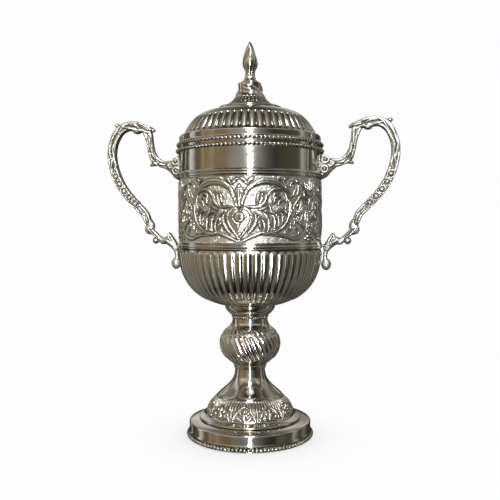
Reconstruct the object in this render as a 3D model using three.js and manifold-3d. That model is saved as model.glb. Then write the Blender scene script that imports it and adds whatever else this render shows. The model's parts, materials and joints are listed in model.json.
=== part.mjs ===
// Covered cup trophy: a turned and raised bowl on a knopped stem and stepped foot, with two cast
// scroll handles and a domed lift-off lid. Millimetres, +Z up, origin at the centre of the foot's
// underside. The handles lie along X and the front of the cup faces -Y.
import * as THREE from 'three';
import { mergeVertices } from 'three/addons/utils/BufferGeometryUtils.js';
import Module from 'manifold-3d';

const wasm = await Module();
wasm.setup();

// ---- driving dimensions -------------------------------------------------------------------

const WALL = 1.2;                 // sheet thickness of every raised or spun shell
const SEAM = 0.1;                 // solder gap between two stacked pieces
const FIT = 0.3;                  // gap round a fastener, and between a handle and the body
const BODY_SIDES = 32;            // sides of the large turned pieces
const STEM_SIDES = 20;            // sides of the small turned pieces
const ROD_SIDES = 12;             // sides of bolts, nuts and washers

const HEIGHT = {                  // where one piece ends and the next begins, up from the table
  plinthTop: 16.2,
  domeFoot: 18.4,
  domeTop: 42.2,
  trumpetTop: 69,
  collarTop: 75,
  knopTop: 120.6,
  calyxFoot: 123.6,
  bowlFoot: 134.3,
  bowlTop: 191.6,
  lowerBand: 195.5,
  upperBand: 266.5,
  rim: 295.2,
  lidShoulder: 308.8,
  lidTop: 335.4,
  pedestalTop: 364.6,
  tip: 407.6,
};

const RADIUS = {                  // outside radii
  plinth: 62.6,
  domeTop: 33.4,
  neck: 15.6,
  knopTop: 18.3,
  calyx: 26.3,
  bowl: 73.8,
  lidSkirt: 74.2,
  lidStep: 73.2,
  plateau: 44,
  pedestalFoot: 33.2,
  finial: 7.9,
};

const BOLT_RADIUS = 3;            // tie bolt through the stem
const STUD_RADIUS = 2.5;          // stud below the finial
const SCREW_RADIUS = 1.5;         // handle screws
const SCREW_WASHER = { radius: 4.2, thickness: 0.8 };
const CLAMP_PLATE = { radius: 30, thickness: 2.4 };
const CLAMP_NUT_HEIGHT = 5;
const FINIAL_WASHER = { radius: 9, thickness: 1 };
const FINIAL_NUT_HEIGHT = 4;
const SCREW_HEIGHTS = { upper: 279.5, lower: HEIGHT.lowerBand };
const HANDLE_DEPTH = 9.6;         // thickness of a handle from front to back

const FINISH = {
  plate: { color: 0xb3aea3, roughness: 0.2, metalness: 1 },
  cast: { color: 0xc4c1b8, roughness: 0.3, metalness: 1 },
  steel: { color: 0x8d8c88, roughness: 0.45, metalness: 1 },
  brass: { color: 0xa88f58, roughness: 0.4, metalness: 1 },
};

// ---- outlines in the half plane (radius, height) --------------------------------------------

// Starts an outline at one point; further points and curves are chained on to it.
function outline(radius, height) {
  return new THREE.Path().moveTo(radius, height);
}

// The points of an outline: straight stretches keep their ends, bends get STEPS spans each.
function trace(path, steps) {
  const points = [path.curves[0].getPoint(0)];
  for (const curve of path.curves) {
    const spans = curve.isLineCurve ? 1 : steps;
    points.push(...curve.getPoints(spans).slice(1));
  }
  return points;
}

// Joins the first point to the last, as a closed ring section needs.
function closed(points) {
  return [...points, points[0].clone()];
}

// A sheet-metal section: the outer line, drawn upwards, and a copy of it one wall further in.
// Both lines start and end at the same heights, so that the shell's edges lie flat.
function shell(outer, wall = WALL) {
  const inner = outer.map((point, i) => {
    const before = outer[i - 1] ?? point;
    const after = outer[i + 1] ?? point;
    const along = after.clone().sub(before).normalize();
    const edge = before === point || after === point;
    if (edge) return new THREE.Vector2(point.x - wall / along.y, point.y);
    return new THREE.Vector2(point.x - along.y * wall, point.y + along.x * wall);
  });
  return closed([...outer, ...inner.reverse()]);
}

// ---- turning, extruding and cutting -----------------------------------------------------------

// Revolves a section about the Z axis.
function turned(points, sides = BODY_SIDES) {
  const geometry = new THREE.LatheGeometry(points, sides);
  geometry.rotateX(Math.PI / 2);
  return outward(weld(geometry));
}

// Leaves one copy of each vertex and drops the triangles that closed up to a line.
function weld(geometry) {
  geometry.deleteAttribute('normal');
  geometry.deleteAttribute('uv');
  const merged = mergeVertices(geometry, 1e-4);
  const index = merged.index.array;
  const kept = [];
  for (let i = 0; i < index.length; i += 3) {
    const [a, b, c] = [index[i], index[i + 1], index[i + 2]];
    if (a !== b && b !== c && c !== a) kept.push(a, b, c);
  }
  merged.setIndex(kept);
  return merged;
}

// Turns the faces of a closed geometry outwards.
function outward(geometry) {
  const position = geometry.attributes.position;
  const index = geometry.index.array;
  const corner = (i) => new THREE.Vector3().fromBufferAttribute(position, index[i]);
  let volume = 0;
  for (let i = 0; i < index.length; i += 3) {
    volume += corner(i).dot(corner(i + 1).cross(corner(i + 2)));
  }
  if (volume < 0) index.reverse();
  return geometry;
}

function toSolid(geometry) {
  return new wasm.Manifold(new wasm.Mesh({
    numProp: 3,
    vertProperties: new Float32Array(geometry.attributes.position.array),
    triVerts: new Uint32Array(geometry.index.array),
  }));
}

function toGeometry(solid) {
  const mesh = solid.getMesh();
  const geometry = new THREE.BufferGeometry();
  geometry.setAttribute('position', new THREE.BufferAttribute(mesh.vertProperties, 3));
  geometry.setIndex(Array.from(mesh.triVerts));
  return geometry;
}

function joined(pieces) {
  return toGeometry(pieces.map(toSolid).reduce((sum, piece) => sum.add(piece)));
}

function cut(geometry, tools) {
  return toGeometry(tools.map(toSolid).reduce((rest, tool) => rest.subtract(tool), toSolid(geometry)));
}

// A closed round bar along +X from one radius to another, at the given height.
function barAlongX(from, to, height, radius) {
  const bar = new THREE.CylinderGeometry(radius, radius, to - from, ROD_SIDES);
  bar.rotateZ(Math.PI / 2);
  bar.translate((from + to) / 2, 0, height);
  return outward(weld(bar));
}

// The four screw holes that the handles are fastened through.
function screwHoles(height) {
  const right = barAlongX(RADIUS.bowl - 8, RADIUS.bowl + 8, height, SCREW_RADIUS + FIT);
  return [right, right.clone().rotateZ(Math.PI)];
}

// A ring with a flat back and a rounded face, as a soldered beading or moulding has.
function wireRing({ back, height, bulge, half, sides = BODY_SIDES, steps = 3 }) {
  const section = outline(back, height - half)
    .bezierCurveTo(
      back + bulge * 1.3, height - half,
      back + bulge * 1.3, height + half,
      back, height + half,
    );
  return turned(closed(trace(section, steps)), sides);
}

// ---- foot -----------------------------------------------------------------------------------

function footPlinth() {
  const { plinth } = RADIUS;
  const innerEdge = 50;
  const outer = outline(innerEdge + 2, 0)
    .lineTo(plinth, 0)
    .lineTo(plinth, HEIGHT.plinthTop - 1.6)
    .lineTo(plinth - 1, HEIGHT.plinthTop)
    .lineTo(innerEdge + 2.6, HEIGHT.domeFoot - SEAM)
    .lineTo(innerEdge - 3, HEIGHT.domeFoot - SEAM);
  const inner = outline(innerEdge - 3, HEIGHT.domeFoot - SEAM - WALL)
    .lineTo(innerEdge + 2.6, HEIGHT.domeFoot - SEAM - WALL)
    .lineTo(plinth - 1 - WALL, HEIGHT.plinthTop - WALL)
    .lineTo(plinth - WALL, HEIGHT.plinthTop - 1.6 - WALL)
    .lineTo(plinth - WALL, WALL)
    .lineTo(innerEdge + 2, WALL);
  return turned(closed([...trace(outer, 1), ...trace(inner, 1)]));
}

function footBeading() {
  return wireRing({ back: RADIUS.plinth + SEAM, height: 3, bulge: 2.8, half: 2.2 });
}

// Step ring and chased dome, with a deck turned in at the top for the tie bolt to pull on.
function footDome() {
  const bottom = HEIGHT.domeFoot;
  const top = HEIGHT.domeTop;
  const deck = 22;
  const outer = outline(49, bottom)
    .lineTo(52.4, bottom)
    .lineTo(52.4, bottom + 2.4)
    .lineTo(50.6, bottom + 3.4)
    .lineTo(45, bottom + 4.8)
    .bezierCurveTo(45.2, 32, 40.5, 36, RADIUS.domeTop, top - 1)
    .lineTo(RADIUS.domeTop - 0.6, top)
    .lineTo(deck, top);
  const inner = outline(deck, top - WALL)
    .lineTo(RADIUS.domeTop - 1.6, top - WALL)
    .bezierCurveTo(39, 35, 43.6, 31, 43.6, bottom + 3.6)
    .lineTo(49, bottom + 2.4);
  return turned(closed([...trace(outer, 4), ...trace(inner, 3)]));
}

// ---- stem -----------------------------------------------------------------------------------

function stemTrumpet() {
  const outer = outline(RADIUS.domeTop - 0.4, HEIGHT.domeTop + SEAM)
    .bezierCurveTo(25, 50, 16, 55, RADIUS.neck, 67)
    .lineTo(RADIUS.neck, HEIGHT.trumpetTop - SEAM);
  return turned(shell(trace(outer, 5)), STEM_SIDES);
}

function stemCollar() {
  const outer = outline(16.2, HEIGHT.trumpetTop)
    .bezierCurveTo(16.5, 71.5, 17.2, 73.5, 18.8, HEIGHT.collarTop - SEAM);
  return turned(shell(trace(outer, 2), 2.2), STEM_SIDES);
}

// Swelling knop that narrows again to the neck below the bowl.
function stemKnop() {
  const outer = outline(19.4, HEIGHT.collarTop)
    .bezierCurveTo(34.2, 85, 34.6, 102, 22.8, 110.8)
    .bezierCurveTo(19.4, 113.8, 18.4, 116.5, RADIUS.knopTop, HEIGHT.knopTop);
  return turned(shell(trace(outer, 5)), STEM_SIDES);
}

function calyxBeading() {
  const section = outline(RADIUS.knopTop - 3, HEIGHT.knopTop + SEAM)
    .lineTo(RADIUS.knopTop, HEIGHT.knopTop + SEAM)
    .lineTo(RADIUS.knopTop + 1, (HEIGHT.knopTop + HEIGHT.calyxFoot) / 2)
    .lineTo(RADIUS.knopTop, HEIGHT.calyxFoot - SEAM)
    .lineTo(RADIUS.knopTop - 3, HEIGHT.calyxFoot - SEAM);
  return turned(closed(trace(section, 1)), STEM_SIDES);
}

// Small cup that carries the bowl.
function calyx() {
  const outer = outline(RADIUS.knopTop + 1, HEIGHT.calyxFoot)
    .bezierCurveTo(22.6, 126.5, 26, 129.5, RADIUS.calyx, HEIGHT.bowlFoot - SEAM);
  return turned(shell(trace(outer, 3), 2), STEM_SIDES);
}

// ---- bowl -----------------------------------------------------------------------------------

// Rounded lower bowl with a flat bottom, holed for the tie bolt.
function bowlBase() {
  const bottom = HEIGHT.bowlFoot;
  const top = HEIGHT.bowlTop;
  const hole = BOLT_RADIUS + FIT;
  const outer = outline(hole, bottom)
    .lineTo(27.2, bottom)
    .bezierCurveTo(53, 139.2, 72.8, 155, RADIUS.bowl, top - 1);
  const inner = outline(RADIUS.bowl - WALL, top)
    .bezierCurveTo(71.6, 156, 52, 140.8, 26.8, bottom + WALL)
    .lineTo(hole, bottom + WALL);
  const points = [...trace(outer, 6), new THREE.Vector2(RADIUS.bowl, top), ...trace(inner, 5)];
  return turned(closed(points));
}

// Straight-sided upper bowl: chased frieze below, plain band above.
function bowlBarrel() {
  const section = outline(RADIUS.bowl - WALL, HEIGHT.bowlTop + SEAM)
    .lineTo(RADIUS.bowl, HEIGHT.bowlTop + SEAM)
    .lineTo(RADIUS.bowl, HEIGHT.rim)
    .lineTo(RADIUS.bowl - WALL, HEIGHT.rim);
  const holes = [...screwHoles(SCREW_HEIGHTS.upper), ...screwHoles(SCREW_HEIGHTS.lower)];
  return cut(turned(closed(trace(section, 1))), holes);
}

function lowerMoulding() {
  const ring = wireRing({
    back: RADIUS.bowl + SEAM, height: HEIGHT.lowerBand, bulge: 1.5, half: 2.4, steps: 3,
  });
  return cut(ring, screwHoles(SCREW_HEIGHTS.lower));
}

// Two rounded steps, the upper one prouder.
function upperMoulding() {
  const back = RADIUS.bowl + SEAM;
  const middle = HEIGHT.upperBand;
  const section = outline(back, middle - 2.8)
    .lineTo(back + 0.9, middle - 2.4)
    .lineTo(back + 0.9, middle - 0.4)
    .lineTo(back + 1.5, middle + 0.2)
    .lineTo(back + 1.5, middle + 2.2)
    .lineTo(back, middle + 3.2);
  return turned(closed(trace(section, 1)));
}

function rimBeading() {
  return wireRing({ back: RADIUS.bowl + SEAM, height: HEIGHT.rim - 3, bulge: 3.4, half: 2.1 });
}

// ---- handles ----------------------------------------------------------------------------------

// A flat bar of varying width along a smooth line, with chamfered edges. Each station is the
// line's X and Z and the bar's full width there.
function ribbon(stations, { depth = HANDLE_DEPTH, chamfer = 1.2 } = {}) {
  const line = new THREE.CatmullRomCurve3(
    stations.map(([x, z, width]) => new THREE.Vector3(x, z, width)), false, 'centripetal',
  );
  const near = [];
  const far = [];
  const count = stations.length - 1;
  for (let i = 0; i <= count; i += 1) {
    const t = i / count;
    const here = line.getPoint(t);
    const along = line.getTangent(t);
    const length = Math.hypot(along.x, along.y);
    const half = here.z / 2 - chamfer;
    const across = new THREE.Vector2(-along.y, along.x).multiplyScalar(half / length);
    near.push(new THREE.Vector2(here.x, here.y).add(across));
    far.push(new THREE.Vector2(here.x, here.y).sub(across));
  }
  return slab([...near, ...far.reverse()], depth, chamfer);
}

// A flat plate of the given outline in X and Z, centred on Y = 0.
function slab(points, depth, chamfer) {
  const plate = new THREE.ExtrudeGeometry(new THREE.Shape(points), {
    depth: depth - 2 * chamfer,
    bevelEnabled: true,
    bevelThickness: chamfer,
    bevelSize: chamfer,
    bevelSegments: 1,
    steps: 1,
  });
  plate.translate(0, 0, chamfer - depth / 2);
  plate.rotateX(Math.PI / 2);
  return outward(weld(plate));
}

function ball(x, z, radius) {
  const sphere = new THREE.SphereGeometry(radius, 8, 6);
  sphere.translate(x, 0, z);
  return outward(weld(sphere));
}

// The space that the bowl, its mouldings and its rim take up, grown by the fitting gap.
function bowlClearance() {
  const body = RADIUS.bowl + FIT;
  const section = outline(0, 150)
    .lineTo(body - 6, 162)
    .lineTo(body - 1.6, 176)
    .lineTo(body, HEIGHT.bowlTop)
    .lineTo(body + 1.6, HEIGHT.lowerBand - 2.6)
    .lineTo(body + 1.6, HEIGHT.lowerBand + 2.6)
    .lineTo(body, HEIGHT.lowerBand + 3.4)
    .lineTo(body, HEIGHT.upperBand - 3.4)
    .lineTo(body + 1.6, HEIGHT.upperBand - 2.6)
    .lineTo(body + 1.6, HEIGHT.upperBand + 3)
    .lineTo(body, HEIGHT.upperBand + 3.8)
    .lineTo(body, HEIGHT.rim - 6.2)
    .lineTo(body + 4, HEIGHT.rim - 5.4)
    .lineTo(body + 4, HEIGHT.rim + 6)
    .lineTo(0, HEIGHT.rim + 6);
  return turned(trace(section, 1));
}

// Leaf-shaped pad that lies on the plain band.
function handlePad() {
  const { upper } = SCREW_HEIGHTS;
  const edge = new THREE.Shape()
    .moveTo(RADIUS.bowl - 2, upper + 9)
    .bezierCurveTo(82, upper + 9, 84, upper + 5, 92, upper + 4.4)
    .lineTo(92, upper - 4.4)
    .bezierCurveTo(84, upper - 6, 82, upper - 13, RADIUS.bowl - 2, upper - 14.5);
  return slab(edge.getPoints(4), 17, 2.4);
}

// Arm, thorn, riser and shoulder.
function handleRiser() {
  return [
    ribbon([[88, 280, 8], [95, 281.6, 8], [101.5, 286, 9.4], [105, 294, 7.6],
      [106.8, 303, 7], [108.4, 311, 9], [111, 318, 12]]),
    ribbon([[97, 284, 6], [101.5, 282, 5.6], [106.6, 280.2, 3.6]], { depth: 6 }),
    ribbon([[112, 318.4, 8], [106.5, 317.6, 6.4], [101.9, 316.6, 3.6]]),
  ];
}

// Arch, outer bend and the long diagonal down to the lower scroll.
function handleBow() {
  return [
    ribbon([[108, 317.6, 9], [115, 319.6, 9], [123, 321.4, 11], [132, 321.4, 9.6],
      [139.6, 317.2, 9.6], [145.4, 308.4, 9.2], [148.6, 297, 9], [148.2, 285.6, 9.2],
      [145.2, 273, 9.4], [139.4, 260, 9.2], [130.6, 247.6, 8.8], [120.6, 237, 8.4],
      [112.4, 228.4, 8.4], [108.6, 220.6, 8.4]]),
    ball(143.2, 323.4, 2.6),
  ];
}

// Lower scroll, ball, wing and the foot that hangs against the bowl.
function handleRoot() {
  const wing = new THREE.Shape()
    .moveTo(RADIUS.bowl - 2, 188)
    .lineTo(86, 208.6)
    .quadraticCurveTo(88, 203, 93.4, 201.6)
    .quadraticCurveTo(94, 197, 88, 195.4)
    .quadraticCurveTo(81.6, 193.6, 79, 187);
  return [
    ball(108, 216.6, 5.4),
    ribbon([[108.4, 214, 7], [102, 207.6, 6.6], [94, 200.4, 8.4]], { depth: 8 }),
    ball(100.2, 200.6, 3.6),
    slab(wing.getPoints(3), HANDLE_DEPTH, 1),
    ribbon([[78.6, 194, 8], [77.8, 187, 5], [78, 180, 5.4]], { depth: 7 }),
    ball(78.6, 176.8, 5.4),
  ];
}

function handle() {
  const whole = joined([handlePad(), ...handleRiser(), ...handleBow(), ...handleRoot()]);
  const bores = [SCREW_HEIGHTS.upper, SCREW_HEIGHTS.lower].map(
    (height) => barAlongX(RADIUS.bowl - 4, RADIUS.bowl + 11, height, SCREW_RADIUS + FIT),
  );
  return cut(whole, [bowlClearance(), ...bores]);
}

// ---- fasteners ----------------------------------------------------------------------------------

// A disc or ring with square edges, its underside at the given height.
function washer(hole, radius, height, thickness, sides = ROD_SIDES) {
  const section = outline(hole, height)
    .lineTo(radius, height)
    .lineTo(radius, height + thickness)
    .lineTo(hole, height + thickness);
  return turned(closed(trace(section, 1)), sides);
}

// A hexagon nut with a plain round hole, its underside at the given height.
function nut(hole, corner, height, thickness) {
  const block = new THREE.CylinderGeometry(corner, corner, thickness, 6);
  const drill = new THREE.CylinderGeometry(hole, hole, thickness + 2, ROD_SIDES);
  for (const round of [block, drill]) {
    round.rotateX(Math.PI / 2);
    round.translate(0, 0, height + thickness / 2);
  }
  return cut(outward(weld(block)), [outward(weld(drill))]);
}

// Tie bolt with a domed head inside the bowl, down to below the clamp plate.
function tieBolt() {
  const seat = HEIGHT.bowlFoot + 2 * WALL + 2 * SEAM;
  const section = outline(0, 26)
    .lineTo(BOLT_RADIUS, 26)
    .lineTo(BOLT_RADIUS, seat)
    .lineTo(7, seat)
    .lineTo(7, seat + 1.6)
    .lineTo(4.6, seat + 3.8)
    .lineTo(0, seat + 4.4);
  return turned(trace(section, 1), ROD_SIDES);
}

// A pan-head screw pointing outwards along +X, with its washer's seat at the given radius.
function handleScrew(height) {
  const wall = RADIUS.bowl - WALL;
  const seat = wall - SEAM - SCREW_WASHER.thickness - SEAM;
  const section = outline(0, seat - 2.2)
    .lineTo(2.2, seat - 2)
    .lineTo(3.2, seat - 1)
    .lineTo(3.2, seat)
    .lineTo(SCREW_RADIUS, seat)
    .lineTo(SCREW_RADIUS, RADIUS.bowl + 10)
    .lineTo(0, RADIUS.bowl + 10);
  return sideways(turned(trace(section, 1), ROD_SIDES), height);
}

function screwWasher(height) {
  const { radius, thickness } = SCREW_WASHER;
  const seat = RADIUS.bowl - WALL - SEAM - thickness;
  return sideways(washer(SCREW_RADIUS + FIT, radius, seat, thickness), height);
}

// Turns a piece made about Z to lie about +X at the given height.
function sideways(geometry, height) {
  geometry.rotateY(Math.PI / 2);
  geometry.translate(-sagitta(), 0, height);
  return geometry;
}

// How far the flat sides of the bowl lie inside its true radius, where a flat washer seats.
function sagitta() {
  return RADIUS.bowl - Math.sqrt(RADIUS.bowl ** 2 - SCREW_WASHER.radius ** 2) + FIT;
}

// ---- lid ------------------------------------------------------------------------------------

// Skirt, step and dome in one raised shell, with a hole for the finial's stud.
function lidDome() {
  const foot = HEIGHT.rim + SEAM;
  const top = HEIGHT.lidTop;
  const hole = STUD_RADIUS + FIT;
  const outer = outline(RADIUS.lidSkirt, foot)
    .lineTo(RADIUS.lidSkirt, foot + 5)
    .lineTo(RADIUS.lidStep, foot + 5.4)
    .lineTo(RADIUS.lidStep, HEIGHT.lidShoulder - 3)
    .lineTo(RADIUS.lidStep - 1.6, HEIGHT.lidShoulder - 0.6)
    .lineTo(68.9, HEIGHT.lidShoulder)
    .bezierCurveTo(64.4, 319.4, 56.4, 330.8, RADIUS.plateau, 333.4)
    .lineTo(RADIUS.pedestalFoot, top)
    .lineTo(hole, top);
  const inner = outline(hole, top - WALL)
    .lineTo(RADIUS.pedestalFoot, top - WALL)
    .lineTo(RADIUS.plateau - 0.4, 333.4 - WALL)
    .bezierCurveTo(55.6, 329.4, 63.2, 318.6, 67.6, HEIGHT.lidShoulder - WALL)
    .lineTo(RADIUS.lidStep - WALL, HEIGHT.lidShoulder - 3.6)
    .lineTo(RADIUS.lidStep - WALL, foot);
  return turned(closed([...trace(outer, 5), ...trace(inner, 4)]));
}

// Sleeve inside the lid that drops into the bowl's mouth.
function lidBezel() {
  const soldered = RADIUS.lidStep - WALL - SEAM;
  const sliding = soldered - 0.3;
  const section = outline(sliding - WALL, HEIGHT.rim - 9)
    .lineTo(sliding, HEIGHT.rim - 9)
    .lineTo(sliding, HEIGHT.rim)
    .lineTo(soldered, HEIGHT.rim + 1)
    .lineTo(soldered, HEIGHT.rim + 8.4)
    .lineTo(sliding - WALL, HEIGHT.rim + 8.4);
  return turned(closed(trace(section, 1)));
}

function lidBeading() {
  return wireRing({ back: RADIUS.lidSkirt + SEAM, height: HEIGHT.rim + 3.2, bulge: 2.2, half: 1.9 });
}

// Small torus and trumpet that carry the finial.
function finialPedestal() {
  const foot = HEIGHT.lidTop + SEAM;
  const outer = outline(RADIUS.pedestalFoot - 0.4, foot)
    .lineTo(RADIUS.pedestalFoot, foot + 1.6)
    .lineTo(RADIUS.pedestalFoot - 1.4, foot + 3)
    .bezierCurveTo(20.5, 341.4, 14.6, 347, 12.3, 360)
    .lineTo(12, HEIGHT.pedestalTop - 2.2)
    .lineTo(10.4, HEIGHT.pedestalTop - SEAM)
    .lineTo(5, HEIGHT.pedestalTop - SEAM);
  const inner = outline(5, HEIGHT.pedestalTop - SEAM - WALL)
    .lineTo(9.8, HEIGHT.pedestalTop - 3)
    .lineTo(11, 360)
    .bezierCurveTo(13.4, 346, 20, 340, RADIUS.pedestalFoot - 2.4, foot + 1.4)
    .lineTo(RADIUS.pedestalFoot - 2.4, foot);
  return turned(closed([...trace(outer, 4), ...trace(inner, 3)]), STEM_SIDES);
}

// Cast bud on a waisted neck, in one piece with the stud that holds it down.
function finial() {
  const { finial: bud } = RADIUS;
  const section = outline(0, HEIGHT.lidTop - 9)
    .lineTo(STUD_RADIUS, HEIGHT.lidTop - 9)
    .lineTo(STUD_RADIUS, HEIGHT.pedestalTop)
    .lineTo(8.6, HEIGHT.pedestalTop)
    .bezierCurveTo(6, 367.5, 5.2, 371, 5.1, 374.6)
    .bezierCurveTo(5.4, 379, bud - 0.1, 380, bud, 383.8)
    .bezierCurveTo(8, 389.5, 3.8, 403.5, 0, HEIGHT.tip);
  return turned(trace(section, 4), ROD_SIDES);
}

// ---- assembly -----------------------------------------------------------------------------------

const trophy = new THREE.Group();

function add(group, name, geometry, finish) {
  const mesh = new THREE.Mesh(geometry, new THREE.MeshStandardMaterial(FINISH[finish]));
  mesh.name = name;
  group.add(mesh);
  return mesh;
}

function addFoot(group) {
  add(group, 'foot_plinth', footPlinth(), 'plate');
  add(group, 'foot_beading', footBeading(), 'plate');
  add(group, 'foot_dome', footDome(), 'plate');
}

function addStem(group) {
  add(group, 'stem_trumpet', stemTrumpet(), 'plate');
  add(group, 'stem_collar', stemCollar(), 'plate');
  add(group, 'stem_knop', stemKnop(), 'plate');
  add(group, 'calyx_beading', calyxBeading(), 'plate');
  add(group, 'calyx', calyx(), 'plate');
}

function addBowl(group) {
  add(group, 'bowl_base', bowlBase(), 'plate');
  add(group, 'bowl_barrel', bowlBarrel(), 'plate');
  add(group, 'lower_moulding', lowerMoulding(), 'plate');
  add(group, 'upper_moulding', upperMoulding(), 'plate');
  add(group, 'rim_beading', rimBeading(), 'plate');
}

// One handle with its two screws and washers; the left one is the right one turned half round.
function addHandle(group, side, turn) {
  const set = new THREE.Group();
  set.rotation.z = turn;
  add(set, `handle_${side}`, handle(), 'cast');
  for (const [level, height] of Object.entries(SCREW_HEIGHTS)) {
    add(set, `handle_screw_${side}_${level}`, handleScrew(height), 'brass');
    add(set, `screw_washer_${side}_${level}`, screwWasher(height), 'brass');
  }
  group.add(set);
}

// Bolt, nut and plates that draw bowl, stem and foot together.
function addTie(group) {
  const hole = BOLT_RADIUS + FIT;
  const floor = HEIGHT.bowlFoot + WALL + SEAM;
  const { radius, thickness } = CLAMP_PLATE;
  const plate = HEIGHT.domeTop - WALL - SEAM - thickness;
  add(group, 'tie_bolt', tieBolt(), 'steel');
  add(group, 'bowl_washer', washer(hole, 14, floor, WALL), 'brass');
  add(group, 'clamp_plate', washer(hole, radius, plate, thickness, STEM_SIDES), 'steel');
  add(group, 'clamp_nut', nut(hole, 5.8, plate - SEAM - CLAMP_NUT_HEIGHT, CLAMP_NUT_HEIGHT), 'steel');
}

function addLid(group) {
  const hole = STUD_RADIUS + FIT;
  const { radius, thickness } = FINIAL_WASHER;
  const seat = HEIGHT.lidTop - WALL - SEAM - thickness;
  add(group, 'lid_dome', lidDome(), 'plate');
  add(group, 'lid_bezel', lidBezel(), 'plate');
  add(group, 'lid_beading', lidBeading(), 'plate');
  add(group, 'finial_pedestal', finialPedestal(), 'plate');
  add(group, 'finial', finial(), 'plate');
  add(group, 'finial_washer', washer(hole, radius, seat, thickness), 'brass');
  add(group, 'finial_nut', nut(hole, 4.8, seat - SEAM - FINIAL_NUT_HEIGHT, FINIAL_NUT_HEIGHT), 'brass');
}

addFoot(trophy);
addStem(trophy);
addBowl(trophy);
addTie(trophy);
addHandle(trophy, 'right', 0);
addHandle(trophy, 'left', Math.PI);
addLid(trophy);

export default trophy;
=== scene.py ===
"""Covered cup trophy in aged silver plate.

Each turned or cast piece of the frame is rebuilt as a fine mesh: beads, flutes, the chased
frieze, the chased foot and the cast handles are real relief. Lengths are millimetres in the
frame's axes (+Z up, front of the cup towards -Y) until a mesh is made, and metres after that.
"""
import json
import math

import bpy
import numpy as np
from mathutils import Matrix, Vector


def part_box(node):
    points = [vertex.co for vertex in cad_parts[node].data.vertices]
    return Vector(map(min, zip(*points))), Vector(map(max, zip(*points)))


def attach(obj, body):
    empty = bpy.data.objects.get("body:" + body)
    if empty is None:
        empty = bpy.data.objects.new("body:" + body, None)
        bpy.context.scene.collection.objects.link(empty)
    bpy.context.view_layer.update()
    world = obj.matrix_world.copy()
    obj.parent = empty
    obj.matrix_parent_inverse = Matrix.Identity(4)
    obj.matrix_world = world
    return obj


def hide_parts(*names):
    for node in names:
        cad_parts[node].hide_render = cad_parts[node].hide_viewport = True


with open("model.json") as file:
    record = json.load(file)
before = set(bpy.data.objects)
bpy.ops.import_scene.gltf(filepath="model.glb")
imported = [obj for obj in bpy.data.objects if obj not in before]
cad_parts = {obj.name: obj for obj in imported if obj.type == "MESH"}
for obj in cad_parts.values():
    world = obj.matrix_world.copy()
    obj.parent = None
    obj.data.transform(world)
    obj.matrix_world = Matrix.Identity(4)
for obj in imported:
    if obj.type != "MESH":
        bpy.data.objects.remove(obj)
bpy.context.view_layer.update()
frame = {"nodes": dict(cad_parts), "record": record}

MM = 0.001
WALL = 1.2          # thickness of the sheet metal
SOLDER = 0.1        # gap between a wire and what it is soldered to
FINE = 0.5          # spacing of points along an outline
SEED = 7            # of the random draws

BEAD_SPACING = 1.1  # pitch of the beads as a share of their width
GAP_DEPTH = 0.5     # how far a beaded wire sinks between two beads, as a share of its depth
GAP_WAIST = 0.7     # how much narrower it is there, as a share of its width
BEAD_TOP = 0.86     # height on a bead, as a share, where the painted shade begins
BEAD_FADE = 0.35    # how far below that the painted shade is full
RIB_WIDTH = 0.5     # half width of the thin rib round a lobe
RIB_MIDDLE = 0.97   # where the rib's crest lies, as a share of the lobe's half width

# How matt the punched, worn or cast tops of the relief are, from 0 to 1; the paler colour they take is a
# painted highlight on the ribs, the flute ridges and the bead tops.
BEAD_MATT_AND_HIGHLIGHT = 0.55
LOBE_FROST = 0.15
RIB_MATT_AND_HIGHLIGHT = 0.9


# ---- Sizes taken from the frame ---------------------------------------------

def size(node):
    """Lowest and highest level of a CAD node and its reach along +X, in millimetres."""
    low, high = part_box(node)
    return low.z / MM, high.z / MM, high.x / MM


# ---- Outlines in the half plane (radius, height) ----------------------------

def line(*points):
    """Straight stretches from point to point."""
    return np.array(points, float)


def bend(start, pull_a, pull_b, end, steps=40):
    """A cubic curve from start to end."""
    t = np.linspace(0, 1, steps + 1)[:, None]
    a, b, c, d = (np.array(p, float) for p in (start, pull_a, pull_b, end))
    return a * (1 - t) ** 3 + 3 * b * t * (1 - t) ** 2 + 3 * c * t * t * (1 - t) + d * t ** 3


def arc(centre, radius, first, last, steps=24):
    """Part of a circle between two angles in degrees, 0 pointing outwards and 90 up."""
    a = np.radians(np.linspace(first, last, steps + 1))
    return np.array(centre, float) + radius * np.stack([np.cos(a), np.sin(a)], 1)


def spline(points, spacing=0.4):
    """A smooth curve through points, in any number of dimensions, at an even spacing."""
    p = np.array(points, float)
    p = np.vstack([2 * p[0] - p[1], p, 2 * p[-1] - p[-2]])
    t = np.linspace(0, 1, 24, endpoint=False)[:, None]
    out = []
    for a, b, c, d in zip(p[:-3], p[1:-2], p[2:-1], p[3:]):
        out.append(0.5 * (2 * b + (c - a) * t + (2 * a - 5 * b + 4 * c - d) * t ** 2
                          + (3 * b - a - 3 * c + d) * t ** 3))
    return even(np.vstack(out + [p[-2:-1]]), spacing)


def travel(points):
    """Distance along a polyline to each of its points, in its first two dimensions."""
    steps = np.linalg.norm(np.diff(points[:, :2], axis=0), axis=1)
    return np.concatenate([[0], np.cumsum(steps)])


def even(points, spacing):
    """The same polyline with evenly spaced points."""
    s = travel(points)
    keep = np.concatenate([[True], np.diff(s) > 1e-9])
    count = max(2, int(round(s[-1] / spacing)) + 1)
    at = np.linspace(0, s[-1], count)
    return np.stack([np.interp(at, s[keep], column[keep]) for column in points.T], 1)


def soften(points, passes):
    """Rounds the corners of a polyline, keeping its ends."""
    p = points.copy()
    for _ in range(passes):
        p[1:-1] = (p[:-2] + 2 * p[1:-1] + p[2:]) / 4
    return p


def spun(*parts, spacing=FINE, passes=2):
    """Joins outline parts and rounds their corners, as spun sheet metal has them."""
    return soften(even(np.vstack(parts), spacing), passes)


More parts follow.
